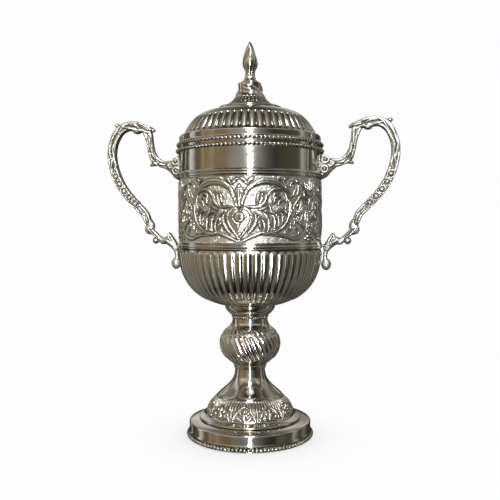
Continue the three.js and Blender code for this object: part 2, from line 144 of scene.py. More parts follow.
def normals(outline):
    """Unit normals of an open outline drawn upwards, pointing away from the axis."""
    along = np.gradient(outline, axis=0)
    along /= np.linalg.norm(along, axis=1)[:, None]
    return np.stack([along[:, 1], -along[:, 0]], 1)


def lining(outline, wall=WALL, spacing=2.0):
    """The inner face of a sheet whose outer face is the outline, drawn downwards."""
    calm = soften(even(outline, spacing), 1)
    inner = calm - normals(calm) * wall
    inner[:, 0] = np.maximum(inner[:, 0], 0.4)
    inner[0, 1] = outline[0, 1]
    inner[-1, 1] = outline[-1, 1]
    return inner[::-1]


# ---- Meshes -----------------------------------------------------------------

def make_object(name, vertices, faces, crease=40, **shades):
    """A smooth-shaded object from millimetre vertices and a list of face arrays. Each shade is
    a number per vertex that the materials read by its name."""
    mesh = bpy.data.meshes.new(name)
    mesh.vertices.add(len(vertices))
    mesh.vertices.foreach_set("co", (np.asarray(vertices, float) * MM).astype(np.float32).ravel())
    corners = np.concatenate([f.ravel() for f in faces]).astype(np.int32)
    sides = np.concatenate([np.full(len(f), f.shape[1]) for f in faces])
    mesh.loops.add(len(corners))
    mesh.loops.foreach_set("vertex_index", corners)
    mesh.polygons.add(len(sides))
    starts = np.concatenate([[0], np.cumsum(sides)[:-1]])
    mesh.polygons.foreach_set("loop_start", starts.astype(np.int32))
    mesh.update(calc_edges=True)
    mesh.validate()
    mesh.shade_smooth()
    mesh.set_sharp_from_angle(angle=math.radians(crease))
    for key, values in shades.items():
        layer = mesh.attributes.new(key, "FLOAT", "POINT")
        layer.data.foreach_set("value", np.asarray(values, np.float32).ravel())
    obj = bpy.data.objects.new(name, mesh)
    bpy.context.scene.collection.objects.link(obj)
    return obj


def ring_faces(rows, columns, loop):
    """Quads of a grid that wraps round its columns and, for a loop, round its rows too."""
    i = np.arange(rows if loop else rows - 1)[:, None]
    j = np.arange(columns)[None, :]
    up = (i + 1) % rows
    right = (j + 1) % columns
    quads = [i * columns + j, i * columns + right, up * columns + right, up * columns + j]
    return np.stack(np.broadcast_arrays(*quads), -1).reshape(-1, 4)


def capped_faces(rows, columns):
    """Quads of a grid that wraps round its columns, and a fan over each end. The middles of the
    two fans are the two vertices after the grid's own."""
    count = rows * columns
    last = count - columns
    j = np.arange(columns)
    k = (j + 1) % columns
    first_fan = np.stack([np.full(columns, count), k, j], 1)
    last_fan = np.stack([np.full(columns, count + 1), last + j, last + k], 1)
    return [ring_faces(rows, columns, False), first_fan, last_fan]


def clustered(count, per_repeat):
    """Angles for a pattern with count repeats, closer together where two repeats meet."""
    u = np.arange(per_repeat) * 2 / per_repeat - 1
    share = (1.5 * u - 0.5 * u ** 3) / 2
    return ((np.arange(count)[:, None] + share).ravel() * 2 * math.pi / count) % (2 * math.pi)


def lathe(name, outline, rest=None, sides=192, relief=None, crease=40, turns=None):
    """Turns an outline about Z. The outline is the outer face, drawn upwards, and takes the
    relief; rest is the way back down inside. Without rest the outline starts and ends on the
    axis. relief(theta, along, radius) gives height, recess and mattness at each point; the
    pale colour of matt ribs and ridges is a painted highlight. turns are the angles of the
    columns where they aren't even."""
    section = outline if rest is None else np.vstack([outline, rest])
    theta = np.arange(sides) * 2 * math.pi / sides if turns is None else np.sort(turns)
    sides = len(theta)
    r = np.repeat(section[:, :1], sides, 1)
    z = np.repeat(section[:, 1:], sides, 1)
    recess = np.zeros_like(r)
    matte = np.zeros_like(r)
    if relief is not None:
        n = len(outline)
        out = normals(outline)
        height, recess[:n], matte[:n] = relief(theta[None, :], travel(outline)[:, None], outline[:, :1])
        r[:n] += out[:, :1] * height
        z[:n] += out[:, 1:] * height
    vertices = np.stack([r * np.cos(theta), r * np.sin(theta), z], -1)
    if rest is not None:
        faces = [ring_faces(len(section), sides, True)]
        return make_object(name, vertices.reshape(-1, 3), faces, crease, recess=recess, matte=matte)
    body = vertices[1:-1].reshape(-1, 3)
    poles = np.array([[0, 0, section[0, 1]], [0, 0, section[-1, 1]]])
    faces = capped_faces(len(section) - 2, sides)
    recess = np.concatenate([recess[1:-1].ravel(), [0, 0]])
    return make_object(name, np.vstack([body, poles]), faces, crease, recess=recess)


def bead_ring(name, back, reach, middle, half, count, lean=0.0, per_bead=14, around=16):
    """Beaded wire: a row of beads, its flat back on the given radius. lean turns the top of a
    bead back by a share of the pitch."""
    sides = count * per_bead
    theta = np.arange(sides) * 2 * math.pi / sides
    a = np.linspace(-math.pi / 2, math.pi / 2, around)[:, None]
    phase = theta * count / (2 * math.pi) + lean * np.sin(a)
    x = (phase - np.round(phase)) * 2
    ball = np.sqrt(np.maximum(1 - (x * BEAD_SPACING) ** 2, 0))
    out = back + (reach - back) * np.cos(a) * (1 - GAP_DEPTH * (1 - ball))
    rise = middle + half * np.sin(a) * (1 - GAP_WAIST * (1 - ball))
    front = np.stack([out * np.cos(theta), out * np.sin(theta), rise], -1)
    # Painted shade in the gaps between beads and along the wire's top and bottom edges; the paler bead tops
    # are a painted highlight.
    gap = np.clip((BEAD_TOP - ball * np.cos(a) ** 0.5) / BEAD_FADE, 0, 1)
    faces = [ring_faces(around, sides, True)]
    return make_object(name, front.reshape(-1, 3), faces, 60, recess=gap, matte=BEAD_MATT_AND_HIGHLIGHT * (1 - gap))


def reach_level(outline, level):
    """Distance along an outline, drawn upwards, to the point nearest a level."""
    return travel(outline)[np.argmin(np.abs(outline[:, 1] - level))]


def reach_radius(outline, radius, above=0.0):
    """Distance along an outline to the point nearest a radius, over a level."""
    miss = np.abs(outline[:, 0] - radius)
    return travel(outline)[np.argmin(np.where(outline[:, 1] < above, np.inf, miss))]


def reach_point(outline, point):
    """Distance along an outline to its point nearest another point."""
    return travel(outline)[np.argmin(np.hypot(*(outline - point).T))]


def turned(node, outline, rest, relief=None, **options):
    """A turned piece in place of a CAD node."""
    piece(lathe(node.title(), outline, rest, relief=relief or plain, **options), node)


def beading(node, back, count, proud=0.0, lower=0.0, **options):
    """Beaded wire in place of a CAD node, standing proud of it and lower where it is told to."""
    low, high, reach = size(node)
    middle = (low + high) / 2 - lower
    wire = bead_ring(node.title(), back, reach + proud, middle, (high - low) / 2, count, **options)
    piece(wire, node)


# ---- Relief -----------------------------------------------------------------

def unevenness(theta, along, strength=0.04):
    """The gentle waves that hammering and wear leave in a raised surface."""
    wave = (np.sin(3 * theta + along * 0.11) + np.sin(7 * theta - along * 0.07 + 1.3)
            + np.sin(11 * theta + along * 0.19 + 0.4) * 0.6 + np.sin(17 * theta - along * 0.23) * 0.4)
    return strength * wave / 2


def plain(theta, along, radius):
    """Relief of a surface without ornament."""
    height = unevenness(theta, along)
    return height, 0 * height, 0 * height


def rounded_cell(theta, along, radius, count, start, stop, lean=0.0, width=1.0, top=1.0):
    """How far each point is from the middle line of its flute or lobe, 1 at its edge. Both ends
    are rounded, the upper one by a share of the width. lean is the turn, in cells, from start to
    stop. Also gives the half width there."""
    phase = count * theta / (2 * math.pi) + lean * (along - start) / (stop - start)
    pitch = 2 * math.pi * radius / count
    half = pitch * width / 2
    across = np.abs(phase - np.round(phase)) * pitch
    below = np.clip(half - (along - start), 0, None)
    above = np.clip(half * top - (stop - along), 0, None) / top
    return np.hypot(across, np.maximum(below, above)) / half, half


def flutes(count, start, stop, depth, ridge, top=1.0):
    """Concave channels between two distances along the outline."""
    def relief(theta, along, radius):
        rho, half = rounded_cell(theta, along, radius, count, start, stop, 0, 1 - ridge, top)
        deep = np.clip(1 - rho ** 2, 0, 1) ** 0.8
        height = -depth * deep * half / half.max() + unevenness(theta, along, 0.02)
        ridges = np.clip((rho - 0.9) * 8, 0, 1) * np.clip(np.minimum(along - start, stop - along), 0, 1)
        # The pale ridges between the channels are a painted highlight.
        return height, deep * 0.45, RIB_MATT_AND_HIGHLIGHT * ridges
    return relief


def rib_edge(rho, half):
    """1 along the crest of the rib round a lobe, falling to 0 on both sides."""
    return np.exp(-((rho - RIB_MIDDLE) * half / RIB_WIDTH) ** 2)


def lobes(count, start, stop, tallest, rib, lean=0.0, cap=0.0):
    """Convex lobes, each inside a thin raised rib that is level with the metal beyond their ends.
    With a cap, the lobes are cut across below their tops, and a short drop fills what is left
    above the cut."""
    def relief(theta, along, radius):
        rho, half = rounded_cell(theta, along, radius, count, start, stop, lean)
        rise = tallest * half / half.max()
        dome = rise * np.clip(1 - rho ** 2, 0, 1)
        edge = rib_edge(rho, half)
        if cap:
            turn = lean * (stop - cap - start) / (stop - start)
            cut, _ = rounded_cell(theta, along, radius, count, start, stop - cap, turn)
            drop = np.clip(np.minimum(dome, rise * (cut - 1) * 1.6), 0, None)
            dome = np.where(cut < 1, rise * np.clip(1 - cut ** 2, 0, 1), drop)
            edge = np.maximum(edge, rib_edge(cut, half))
        beyond = np.where(rho > RIB_MIDDLE, 1, edge)
        height = dome - rise * 0.6 + rib * beyond + unevenness(theta, along, 0.03)
        valley = np.clip(1 - dome / (rise * 0.4), 0, 1) * (1 - beyond)
        # The pale rib round each lobe is a painted highlight; the lobes themselves are only a little matt.
        return height, 0.7 * valley, np.maximum(RIB_MATT_AND_HIGHLIGHT * edge, LOBE_FROST * (rho < 1))
    return relief


def hollows(field, reach, strength):
    """How far each point of a height field lies below its surroundings, 0 to 1. The field
    wraps round sideways."""
    calm = field.copy()
    for _ in range(reach):
        calm = (np.roll(calm, 1, 1) + calm + np.roll(calm, -1, 1)) / 3
        calm[1:-1] = (calm[:-2] + calm[1:-1] + calm[2:]) / 3
    return np.clip((calm - field) / strength, 0, 1)


def punched(rows, columns):
    """The granular ground that a matting punch leaves, as heights of about 1."""
    grain = np.random.default_rng(SEED).normal(size=(rows, columns))
    for axis in (0, 1):
        grain = (np.roll(grain, 1, axis) + 2 * grain + np.roll(grain, -1, axis)) / 4
    return grain / grain.std()


FRONT = 0.75        # where the front of the cup is, as a share of a turn from +X


class Chasing:
    """A height field over a flat patch (u across, v up) into which strokes are chased."""

    def __init__(self, u, v):
        self.u, self.v = np.broadcast_arrays(u, v)
        self.height = np.zeros(self.u.shape)

    def stroke(self, points, widths, height, power=0.45):
        """A rounded ridge along a smooth line, tapering through the given half-widths."""
        path = spline(points, 0.35)
        share = np.linspace(0, 1, len(path))
        half = np.interp(share, np.linspace(0, 1, len(widths)), widths)
        for (pu, pv), w in zip(path, half):
            near = (np.abs(self.u - pu) < w) & (np.abs(self.v - pv) < w)
            if not near.any():
                continue
            d2 = ((self.u[near] - pu) ** 2 + (self.v[near] - pv) ** 2) / (w * w)
            rise = height * min(1.0, 0.35 + w) * np.clip(1 - d2, 0, 1) ** power
            self.height[near] = np.maximum(self.height[near], rise)

    def groove(self, points, width, depth):
        """A chased line cut into whatever is there."""
        path = spline(points, 0.35)
        cut = np.zeros(self.u.shape)
        for pu, pv in path:
            near = (np.abs(self.u - pu) < width) & (np.abs(self.v - pv) < width)
            d2 = ((self.u[near] - pu) ** 2 + (self.v[near] - pv) ** 2) / (width * width)
            cut[near] = np.maximum(cut[near], np.clip(1 - d2, 0, 1))
        self.height -= depth * cut

    def pillow(self, points, edge, height):
        """A raised area inside a closed outline, rounded over at its edge."""
        outline = np.array(points, float)
        after = np.roll(outline, -1, 0)
        inside = np.zeros(self.u.shape, bool)
        nearest = np.full(self.u.shape, 1e9)
        for (au, av), (bu, bv) in zip(outline, after):
            crosses = (av > self.v) != (bv > self.v)
            if av != bv:
                inside ^= crosses & (self.u < (bu - au) * (self.v - av) / (bv - av) + au)
            du, dv = bu - au, bv - av
            t = np.clip(((self.u - au) * du + (self.v - av) * dv) / max(du * du + dv * dv, 1e-9), 0, 1)
            nearest = np.minimum(nearest, np.hypot(self.u - au - t * du, self.v - av - t * dv))
        x = np.clip(nearest / edge, 0, 1)
        rise = np.where(inside, height * np.sqrt(1 - (1 - x) ** 2), 0)
        self.height = np.maximum(self.height, rise)

    def leaf(self, base, tip, bow, width, height=1.0, vein=True):
        """A pointed leaf that bows sideways from base to tip."""
        base, tip = np.array(base, float), np.array(tip, float)
        across = np.array([-(tip - base)[1], (tip - base)[0]])
        middle = (base + tip) / 2 + across * bow
        quarter = (base * 2 + middle) / 3 + across * bow * 0.25
        line_points = [base, quarter, middle, tip]
        self.stroke(line_points, [0.35 * width, 0.85 * width, width, 0.6 * width, 0.12 * width], height)
        if vein:
            self.groove([base, middle, tip], 0.35, 0.3 * height)


def repeated(tile, count):
    """A height field all the way round from one tile, the middle of a tile facing the front."""
    whole = np.tile(tile, (1, count))
    return np.roll(whole, int(round(FRONT * whole.shape[1])) - tile.shape[1] // 2, axis=1)


# ---- Frieze: hearts between scrolling stems ---------------------------------

REPEATS = 3
FRIEZE_RISE = 1.15  # how high the frieze's strokes stand, as a share of their drawn height
FRIEZE_SINK = 0.68  # how far the ground is sunk below the plain metal
STIPPLE = 0.16      # depth of the punch marks on the ground


def heart_outline(scale=1.0, middle=20.0):
    """Pointed heart, 25 wide and 34 high at full size, shrunk towards a point on its axis."""
    right = np.vstack([
        bend((0, 0), (2, 8), (13.4, 16), (12.8, 25)),
        bend((12.8, 25), (12.4, 33.6), (3.4, 36.4), (0, 31)),
    ])
    whole = np.vstack([right, right[::-1] * [-1, 1]])
    return (whole - [0, middle]) * scale + [0, middle]


def chase_heart(patch):
    """Heart with a raised border, a smaller heart inside it, and a ringed bud at its centre."""
    patch.pillow(heart_outline(), 1.5, 0.85)
    patch.groove(heart_outline(0.8, 23), 0.7, 0.5)
    patch.pillow(heart_outline(0.66, 25), 3.2, 1.2)
    ring = [(4.9 * math.sin(a), 24.6 + 4.9 * math.cos(a)) for a in np.linspace(0, 2 * math.pi, 25)]
    patch.groove(ring, 0.9, 0.65)
    patch.stroke([(0, 21), (0, 24), (0, 28)], [0.6, 2.4, 0.5], 1.5)
    patch.groove([(0.6, 22), (0.6, 27)], 0.4, 0.5)
    patch.groove([(0, 12), (0, 18.6)], 0.5, 0.45)


def chase_bud(patch):
    """Pointed bud that stands on the heart, below a fluttering ribbon."""
    patch.stroke([(0, 33.4), (0, 39), (0, 47), (0, 55.6)], [0.8, 1.7, 4.3, 0.3], 1.2)
    patch.groove([(0.5, 43), (0.5, 52)], 0.55, 0.55)
    for side in (1, -1):
        patch.groove([(side * 1.9, 40), (side * 2.8, 46), (side * 1.5, 52)], 0.4, 0.35)
        patch.stroke([(side * 0.6, 61.6), (side * 3.6, 60), (side * 7.8, 55.8)], [0.5, 1.7, 0.4], 1.0)
        patch.stroke([(side * 8.2, 56.2), (side * 10.8, 60), (side * 14.4, 61.8)], [0.4, 1.8, 0.4], 1.0)


def loop_path():
    """Main stem: from the heart's point round a circle and back down beside the bud."""
    centre, radius = np.array([26.2, 33.6]), 24.8
    turn = np.radians(np.arange(-104, 146, 12))
    circle = centre + radius * np.stack([np.cos(turn), np.sin(turn)], 1)
    return [(0.6, 1.2), (9, 5.2), *map(tuple, circle), (4.4, 42.5), (2.4, 35.5)]


def scroll_strokes():
    """Stems, leaves and petals inside the loop: points, half-widths and height."""
    branch = [(7.6, 34), (13, 34.2), (18, 34.5), (24, 38.6), (27.2, 44.4), (30.5, 49), (36, 51.4),
              (42, 50), (46.2, 45), (47.2, 38.6), (45, 33)]
    return [
        (loop_path(), [0.7, 1.4, 1.4, 1.4, 1.4, 1.6, 2.2, 3.2, 2.6, 1.6, 0.9], 1.0),
        (branch, [0.6, 1.1, 1.3, 1.3, 1.2, 1.1, 0.4], 0.95),
        ([(18.6, 33.6), (24.2, 38.6), (25.4, 44.4), (23.4, 49.4)], [0.4, 1.4, 1.6, 0.3], 1.2),
        ([(18.2, 35), (21, 41), (21.8, 47.8)], [0.5, 1.8, 0.3], 1.35),
        ([(16.8, 35.4), (17.2, 42), (19.8, 49.4)], [0.3, 1.3, 0.3], 1.1),
        ([(32.6, 36.6), (34.6, 41.6), (39.8, 44.4)], [0.5, 2.1, 0.4], 1.3),
        ([(36.4, 35.6), (39.4, 39.4), (44, 40.8)], [0.4, 1.7, 0.3], 1.15),
        ([(31.2, 40.6), (33.8, 46.2), (39.8, 47.8)], [0.3, 1.3, 0.3], 1.1),
        ([(24.6, 38.4), (27.8, 36.2), (29.8, 33), (29.8, 28.6)], [0.4, 1.1, 1.1, 0.4], 1.1),
        ([(18, 31.8), (22.6, 32.4), (27.4, 34.8)], [0.4, 1.2, 0.4], 1.0),
        ([(14.8, 29.6), (16, 22), (13, 14.6), (8.2, 9)], [0.4, 1.7, 2.0, 0.4], 1.15),
        ([(18.2, 27.6), (22.6, 21.6), (24.2, 16), (22.4, 10.6)], [0.4, 1.2, 1.5, 0.4], 1.2),
        ([(18.4, 25), (19, 18.6), (20.4, 13.4)], [0.3, 1.5, 0.4], 1.35),
        ([(21.8, 29.8), (27.2, 24), (28.6, 17), (26.8, 10.4)], [0.4, 1.6, 2.0, 0.4], 1.2),
        ([(25.8, 30.8), (31.8, 27.4), (34.8, 21), (32.8, 12.6)], [0.4, 1.8, 2.4, 0.4], 1.3),
        ([(31.8, 30.4), (37, 26), (38.4, 20), (36.8, 14.6)], [0.3, 1.2, 1.4, 0.3], 1.15),
        ([(36.4, 31.4), (41.6, 28), (42.4, 22), (40.4, 17.6)], [0.3, 1.3, 1.4, 0.3], 1.2),
        ([(40.6, 34), (45.2, 31), (46.6, 26)], [0.3, 1.4, 0.3], 1.1),
    ]


def outer_strokes(half):
    """Ornament between the loop and the middle of the gap to the next heart."""
    arch = [(53.8, 32.6), (56.4, 37), (60.2, 41.6), (64.2, 45.4), (68, 42.6), (71.4, 37.6), (73.4, 32.6)]
    stem = [(64.4, 40), (62.6, 34), (60.6, 28), (61.8, 22), (64.4, 17.4), (69.6, 13.4)]
    tendril = [(31, 7.6), (39.7, 7.5), (46.6, 6.2), (53.4, 4.2), (60.8, 5.2), (67, 9), (71.5, 13.4),
               (73.4, 19)]
    strokes = [
        (arch, [0.5, 1.0, 1.2, 1.2, 1.0, 0.5], 1.0),
        (stem, [0.5, 1.0, 1.0, 0.8, 0.5], 1.0),
        (tendril, [0.4, 1.1, 1.2, 1.2, 1.1, 0.5], 0.95),
        ([(37, 60.4), (42.6, 59.2), (46, 53.8), (49.6, 46.4)], [0.4, 1.3, 1.3, 0.3], 1.1),
        ([(42.4, 58), (45, 60.8), (49, 61.8)], [0.3, 1.2, 0.3], 1.0),
        ([(50, 53.4), (52.6, 57.8), (56.4, 57)], [0.4, 1.1, 0.4], 1.0),
        ([(52, 44), (55.4, 47.6), (57.4, 53.4)], [0.3, 1.5, 0.3], 1.1),
        ([(57.6, 45.6), (61, 50.4), (59.4, 56.4)], [0.4, 1.4, 0.3], 1.1),
        ([(57.4, 61.6), (59, 59), (62, 57.4)], [0.4, 1.3, 0.3], 1.0),
        ([(53.4, 26), (56, 22), (55.4, 16.4)], [0.3, 1.5, 0.3], 1.0),
        ([(48.6, 21.2), (50.8, 17), (50, 12)], [0.3, 1.2, 0.3], 1.1),
        ([(45.4, 15.4), (47.4, 12.6), (47.4, 9)], [0.3, 1.0, 0.3], 1.0),
        ([(56.6, 14.8), (60, 12), (60.6, 8)], [0.3, 1.2, 0.3], 1.0),
        ([(69.6, 32), (70.8, 27), (69, 21)], [0.4, 1.6, 0.4], 1.15),
        ([(73.4, 30), (74.6, 25), (73.2, 20.6)], [0.3, 1.2, 0.3], 1.0),
    ]
    for side, low in ((-1, 33), (1, 29), (-1, 25), (1, 21), (-1, 19)):
        twig = [(62 + side, low), (62 + side * 3, low + 3.4), (62 + side * 4.4, low + 6.6)]
        strokes.append((twig, [0.3, 1.2, 0.2], 1.05))
    for across, top in ((0, 61.4), (4.4, 59.8), (8.4, 58.6), (12.6, 56.6)):
        petal = [(half, 43), (half - across * 0.55, 51), (half - across, top)]
        strokes.append((petal, [0.5, 1.3, 0.3], 1.2))
    strokes.append(([(half - 1, 42), (half - 7, 45), (half - 9.6, 50)], [0.4, 1.5, 0.3], 1.1))
    strokes.append(([(half, 30), (half, 36), (half, 42.6)], [0.6, 2.4, 0.6], 1.2))
    for across, level in ((3.6, 11.4), (1.1, 2.8), (0, 16.4), (6.4, 4.2), (0, 9), (3.4, 6.4)):
        berry = [(half - across, level + rise) for rise in (0, 0.3, 0.6)]
        strokes.append((berry, [1.2, 1.5, 1.2], 1.25))
    return strokes


def chase_side(patch, side):
    """Everything on one side of the heart, from its point to the middle of the gap."""
    half = math.pi * patch.radius / REPEATS
    for points, widths, height in scroll_strokes() + outer_strokes(half):
        patch.stroke([(side * u, v) for u, v in points], widths, height)
    for share in (loop_path()[4:-4], loop_path()[-4:]):
        patch.groove([(side * u, v) for u, v in share], 0.45, 0.35)


def frieze_relief(bottom, top, sides):
    """Height and recess for the chased band between two distances along the outline."""
    def relief(theta, along, radius):
        tile = sides // REPEATS
        mean = float(radius.mean())
        u = (np.arange(tile) / tile - 0.5) * 2 * math.pi * mean / REPEATS
        v = along - bottom
        patch = Chasing(u[None, :], v)
        patch.radius = mean
        chase_heart(patch)
        chase_bud(patch)
        for side in (1, -1):
            chase_side(patch, side)
        band = np.clip(np.minimum(v, (top - bottom) - v) / 0.8, 0, 1)
        stipple = STIPPLE * punched(len(along), sides)
        field = repeated(patch.height, REPEATS)
        ground = np.clip(1 - field / 0.5, 0, 1)
        seam = np.clip(1 - along / (bottom - 1), 0, 1) ** 0.3
        height = (field * FRIEZE_RISE - FRIEZE_SINK + stipple * ground) * band - 0.8 * seam
        height += unevenness(theta, along, 0.05)
        return height, np.maximum(hollows(field, 4, 0.15) * band, seam), band * (0.4 + 0.6 * ground)
    return relief


# ---- Foot dome: a ring of chased fans and flower heads ----------------------

FANS = 10


def fan_relief(bottom, top, sides):
    """Height and recess for the chased band of the foot between two distances along it."""
    def relief(theta, along, radius):
        tile = sides // FANS
        share = (np.arange(tile) / tile - 0.5) * 2
        v = along - bottom
        rim = top - bottom - 0.6
        half = math.pi * float(radius.mean()) / FANS
        patch = Chasing(share[None, :] * half, v)
        for side in (1, -1):
            arch = [(side * 10.6, 0.5), (side * 8.4, 6.5), (side * 4.6, 12.4), (0, 15.6)]
            patch.stroke(arch, [1.0, 1.3, 1.1, 0.8], 1.0)
            patch.leaf((side * 1.4, 1.2), (side * 6.2, 6.8), side * -0.25, 1.7, 1.2)
            patch.leaf((side * 1, 6.6), (side * 3.6, 11.4), side * -0.3, 1.3, 1.1, False)
            patch.leaf((side * 4.4, 0.8), (side * 8.6, 2.8), side * 0.25, 1.2, 1.0, False)
            divider = [(side * half, level) for level in (0.8, 8, rim)]
            patch.stroke(divider, [0.7, 1.2, 0.9], 1.1)
            for out in (3.2, 6.4, 9.6):
                ray = [(side * out, 15.6 - out * 0.42), (side * out * 0.94, rim)]
                patch.stroke(ray, [0.8, 1.05], 0.95)
        patch.stroke([(0, 0.8), (0, 4), (0, 7)], [1.6, 2.4, 1.2], 1.35)
        patch.stroke([(0, 8.4), (0, 10.6), (0, 12.8)], [0.8, 1.5, 0.5], 1.2)
        patch.stroke([(0, 15.8), (0, rim)], [0.8, 1.1], 0.95)
        band = np.clip(np.minimum(v, (top - bottom) - v) / 0.7, 0, 1)
        field = repeated(patch.height, FANS)
        height = (field - 0.7) * band + unevenness(theta, along, 0.04)
        return height, hollows(field, 5, 0.3) * band, band * 0.35
    return relief


# ---- Foot and stem ----------------------------------------------------------

FOOT_BEADS = 104


def build_foot():
    """Plinth with a beaded lower edge, and the chased dome above it."""
    _, top, reach = size("foot_plinth")
    outline = spun(
        line((52, 0), (reach + 0.6, 0), (reach + 0.6, 0.8), (reach - 0.3, 1.2), (reach - 0.3, 4.6)),
        line((reach + 0.3, 5.2), (reach + 0.3, 6), (reach - 0.3, 6.6), (reach, 14.6)),
        arc((reach - 1.7, 14.6), 1.7, 0, 62),
        bend((reach - 1.2, 16.3), (59, 17.3), (56, top - 0.2), (52.6, top)),
        line((47, top)),
    )
    turned("foot_plinth", outline, lining(outline))
    beading("foot_beading", reach + SOLDER, FOOT_BEADS, proud=0.3, lower=0.4)

    low, high, reach = size("foot_dome")
    step = np.vstack([
        line((48.4, low), (reach - 1.4, low)),
        arc((reach - 1.2, low + 1.2), 1.2, -80, 90, 12),
        line((reach - 3, low + 2.6), (46.4, low + 3.6), (45.6, low + 4.4)),
    ])
    dome = bend((45, low + 5.0), (44.6, 30), (40, 35), (34.2, high - 1.6))
    outline = spun(step, dome, arc((32.8, high - 0.9), 0.9, 10, 90), line((22, high)), spacing=0.45)
    inside = spun(
        line((22, high - WALL), (32, high - WALL)),
        bend((32, high - WALL), (39, 35), (43.6, 31), (43.6, low + 3)),
        line((48.4, low + 1.6)), spacing=2,
    )
    start = reach_point(outline, dome[0]) + 0.4
    stop = reach_point(outline, dome[-1]) - 0.2
    sides = FANS * 66
    turned("foot_dome", outline, inside, fan_relief(start, stop, sides), sides=sides)


KNOP_LOBES = 32
CALYX_BEADS = 56
KNOP_TURN = 2.9     # how many lobes the knop's pattern turns from its foot to its top


def build_stem():
    """Trumpet, collar, lobed knop, a small beaded ring and the calyx that carries the bowl."""
    low, high, reach = size("stem_trumpet")
    flare = bend((reach, low + 0.2), (25, 50), (16, 55), (15.6, 66.5))
    outline = spun(line((reach, low)), flare, line((15.6, high)))
    turned("stem_trumpet", outline, lining(outline))

    low, high, reach = size("stem_collar")
    taper = bend((16.3, low + 0.3), (16.5, 71.5), (17.2, 73.5), (reach, high))
    outline = spun(line((15.4, low)), taper, passes=1)
    turned("stem_collar", outline, lining(outline, 2.2))

    low, high, reach = size("stem_knop")
    swell = bend((19.6, low), (34.2, 85), (34.6, 102), (22.8, 110.8), 60)
    neck = bend((22.6, 111.2), (19.4, 113.8), (18.4, 116.5), (18.3, high))
    outline = spun(line((18.9, low)), swell, neck, passes=1)
    start, stop = (reach_level(outline, level) for level in (low + 4.2, 110.6))
    swirl = lobes(KNOP_LOBES, start, stop, 1.35, 0.35, lean=KNOP_TURN, cap=7.5)
    turned("stem_knop", outline, lining(outline), swirl, sides=KNOP_LOBES * 22)

    back = size("calyx_beading")[2] - 1.6
    beading("calyx_beading", back, CALYX_BEADS, per_bead=12, around=12)

    low, high, reach = size("calyx")
    outline = spun(line((19.2, low)), bend((19.3, low + 0.2), (22.6, 126.5), (26, 129.5), (reach, high)))
    turned("calyx", outline, lining(outline, 2))


# ---- Bowl -------------------------------------------------------------------

BOWL_LOBES = 56
RIM_BEADS = 112
BEAD_LEAN = 0.22    # how far a bead's top leans back round the rim, as a share of the pitch


def build_bowl():
    """Lobed base, straight barrel with the frieze, two mouldings and the beaded rim."""
    low, high, reach = size("bowl_base")
    curve = bend((27.2, low), (53, 139.2), (72.8, 155), (reach, high - 1), 80)
    plain_part = spun(line((3.4, low)), curve, line((reach, high)), spacing=0.6, passes=1)
    top_rows = even(line((reach, high - 5.4), (reach, high)), 0.3)
    outline = np.vstack([plain_part[plain_part[:, 1] < high - 5.6], top_rows])
    hollow = bend((reach - WALL, high), (71.6, 156), (52, 140.8), (26.8, low + WALL))
    inside = even(np.vstack([hollow, line((3.4, low + WALL))]), 2)
    stop = travel(outline)[-1] - 0.5
    relief = lobes(BOWL_LOBES, reach_radius(outline, 45), stop, 1.45, 0.4)
    turned("bowl_base", outline, inside, relief, turns=clustered(BOWL_LOBES, 18))

    low, high, reach = size("bowl_barrel")
    first = size("lower_moulding")[1] + 1
    last = size("upper_moulding")[0] - 0.6
    outline = np.vstack([
        line((reach, low)), even(line((reach, first), (reach, last)), 0.5),
        even(line((reach, last + 2), (reach, high)), 2),
    ])
    inside = even(line((reach - WALL, high), (reach - WALL, low)), 6)
    sides = REPEATS * 340
    relief = frieze_relief(first - low, last - low, sides)
    turned("bowl_barrel", outline, inside, relief, sides=sides)

    back = size("bowl_base")[2] + SOLDER
    low, high, reach = size("lower_moulding")
    middle = (low + high) / 2
    front = spun(
        line((back, low), (back + 0.5, low + 0.1)), arc((reach - 1.5, middle), 1.5, -70, 70),
        line((back + 0.5, high - 0.1), (back, high)), spacing=0.25, passes=1,
    )
    turned("lower_moulding", front, line((back - SOLDER / 2, middle)))

    low, high, reach = size("upper_moulding")
    front = spun(
        line((back, low), (back + 0.4, low)), arc((back + 0.1, low + 1.3), 1.0, -70, 70, 10),
        line((back + 0.5, low + 2.7)), arc((reach - 1.2, high - 2), 1.2, -80, 75, 10), line((back, high)),
        spacing=0.25, passes=1,
    )
    turned("upper_moulding", front, line((back - SOLDER / 2, (low + high) / 2)))
    beading("rim_beading", back, RIM_BEADS, lean=BEAD_LEAN)


# ---- Lid --------------------------------------------------------------------

LID_FLUTES = 56
PEDESTAL_FLUTES = 32


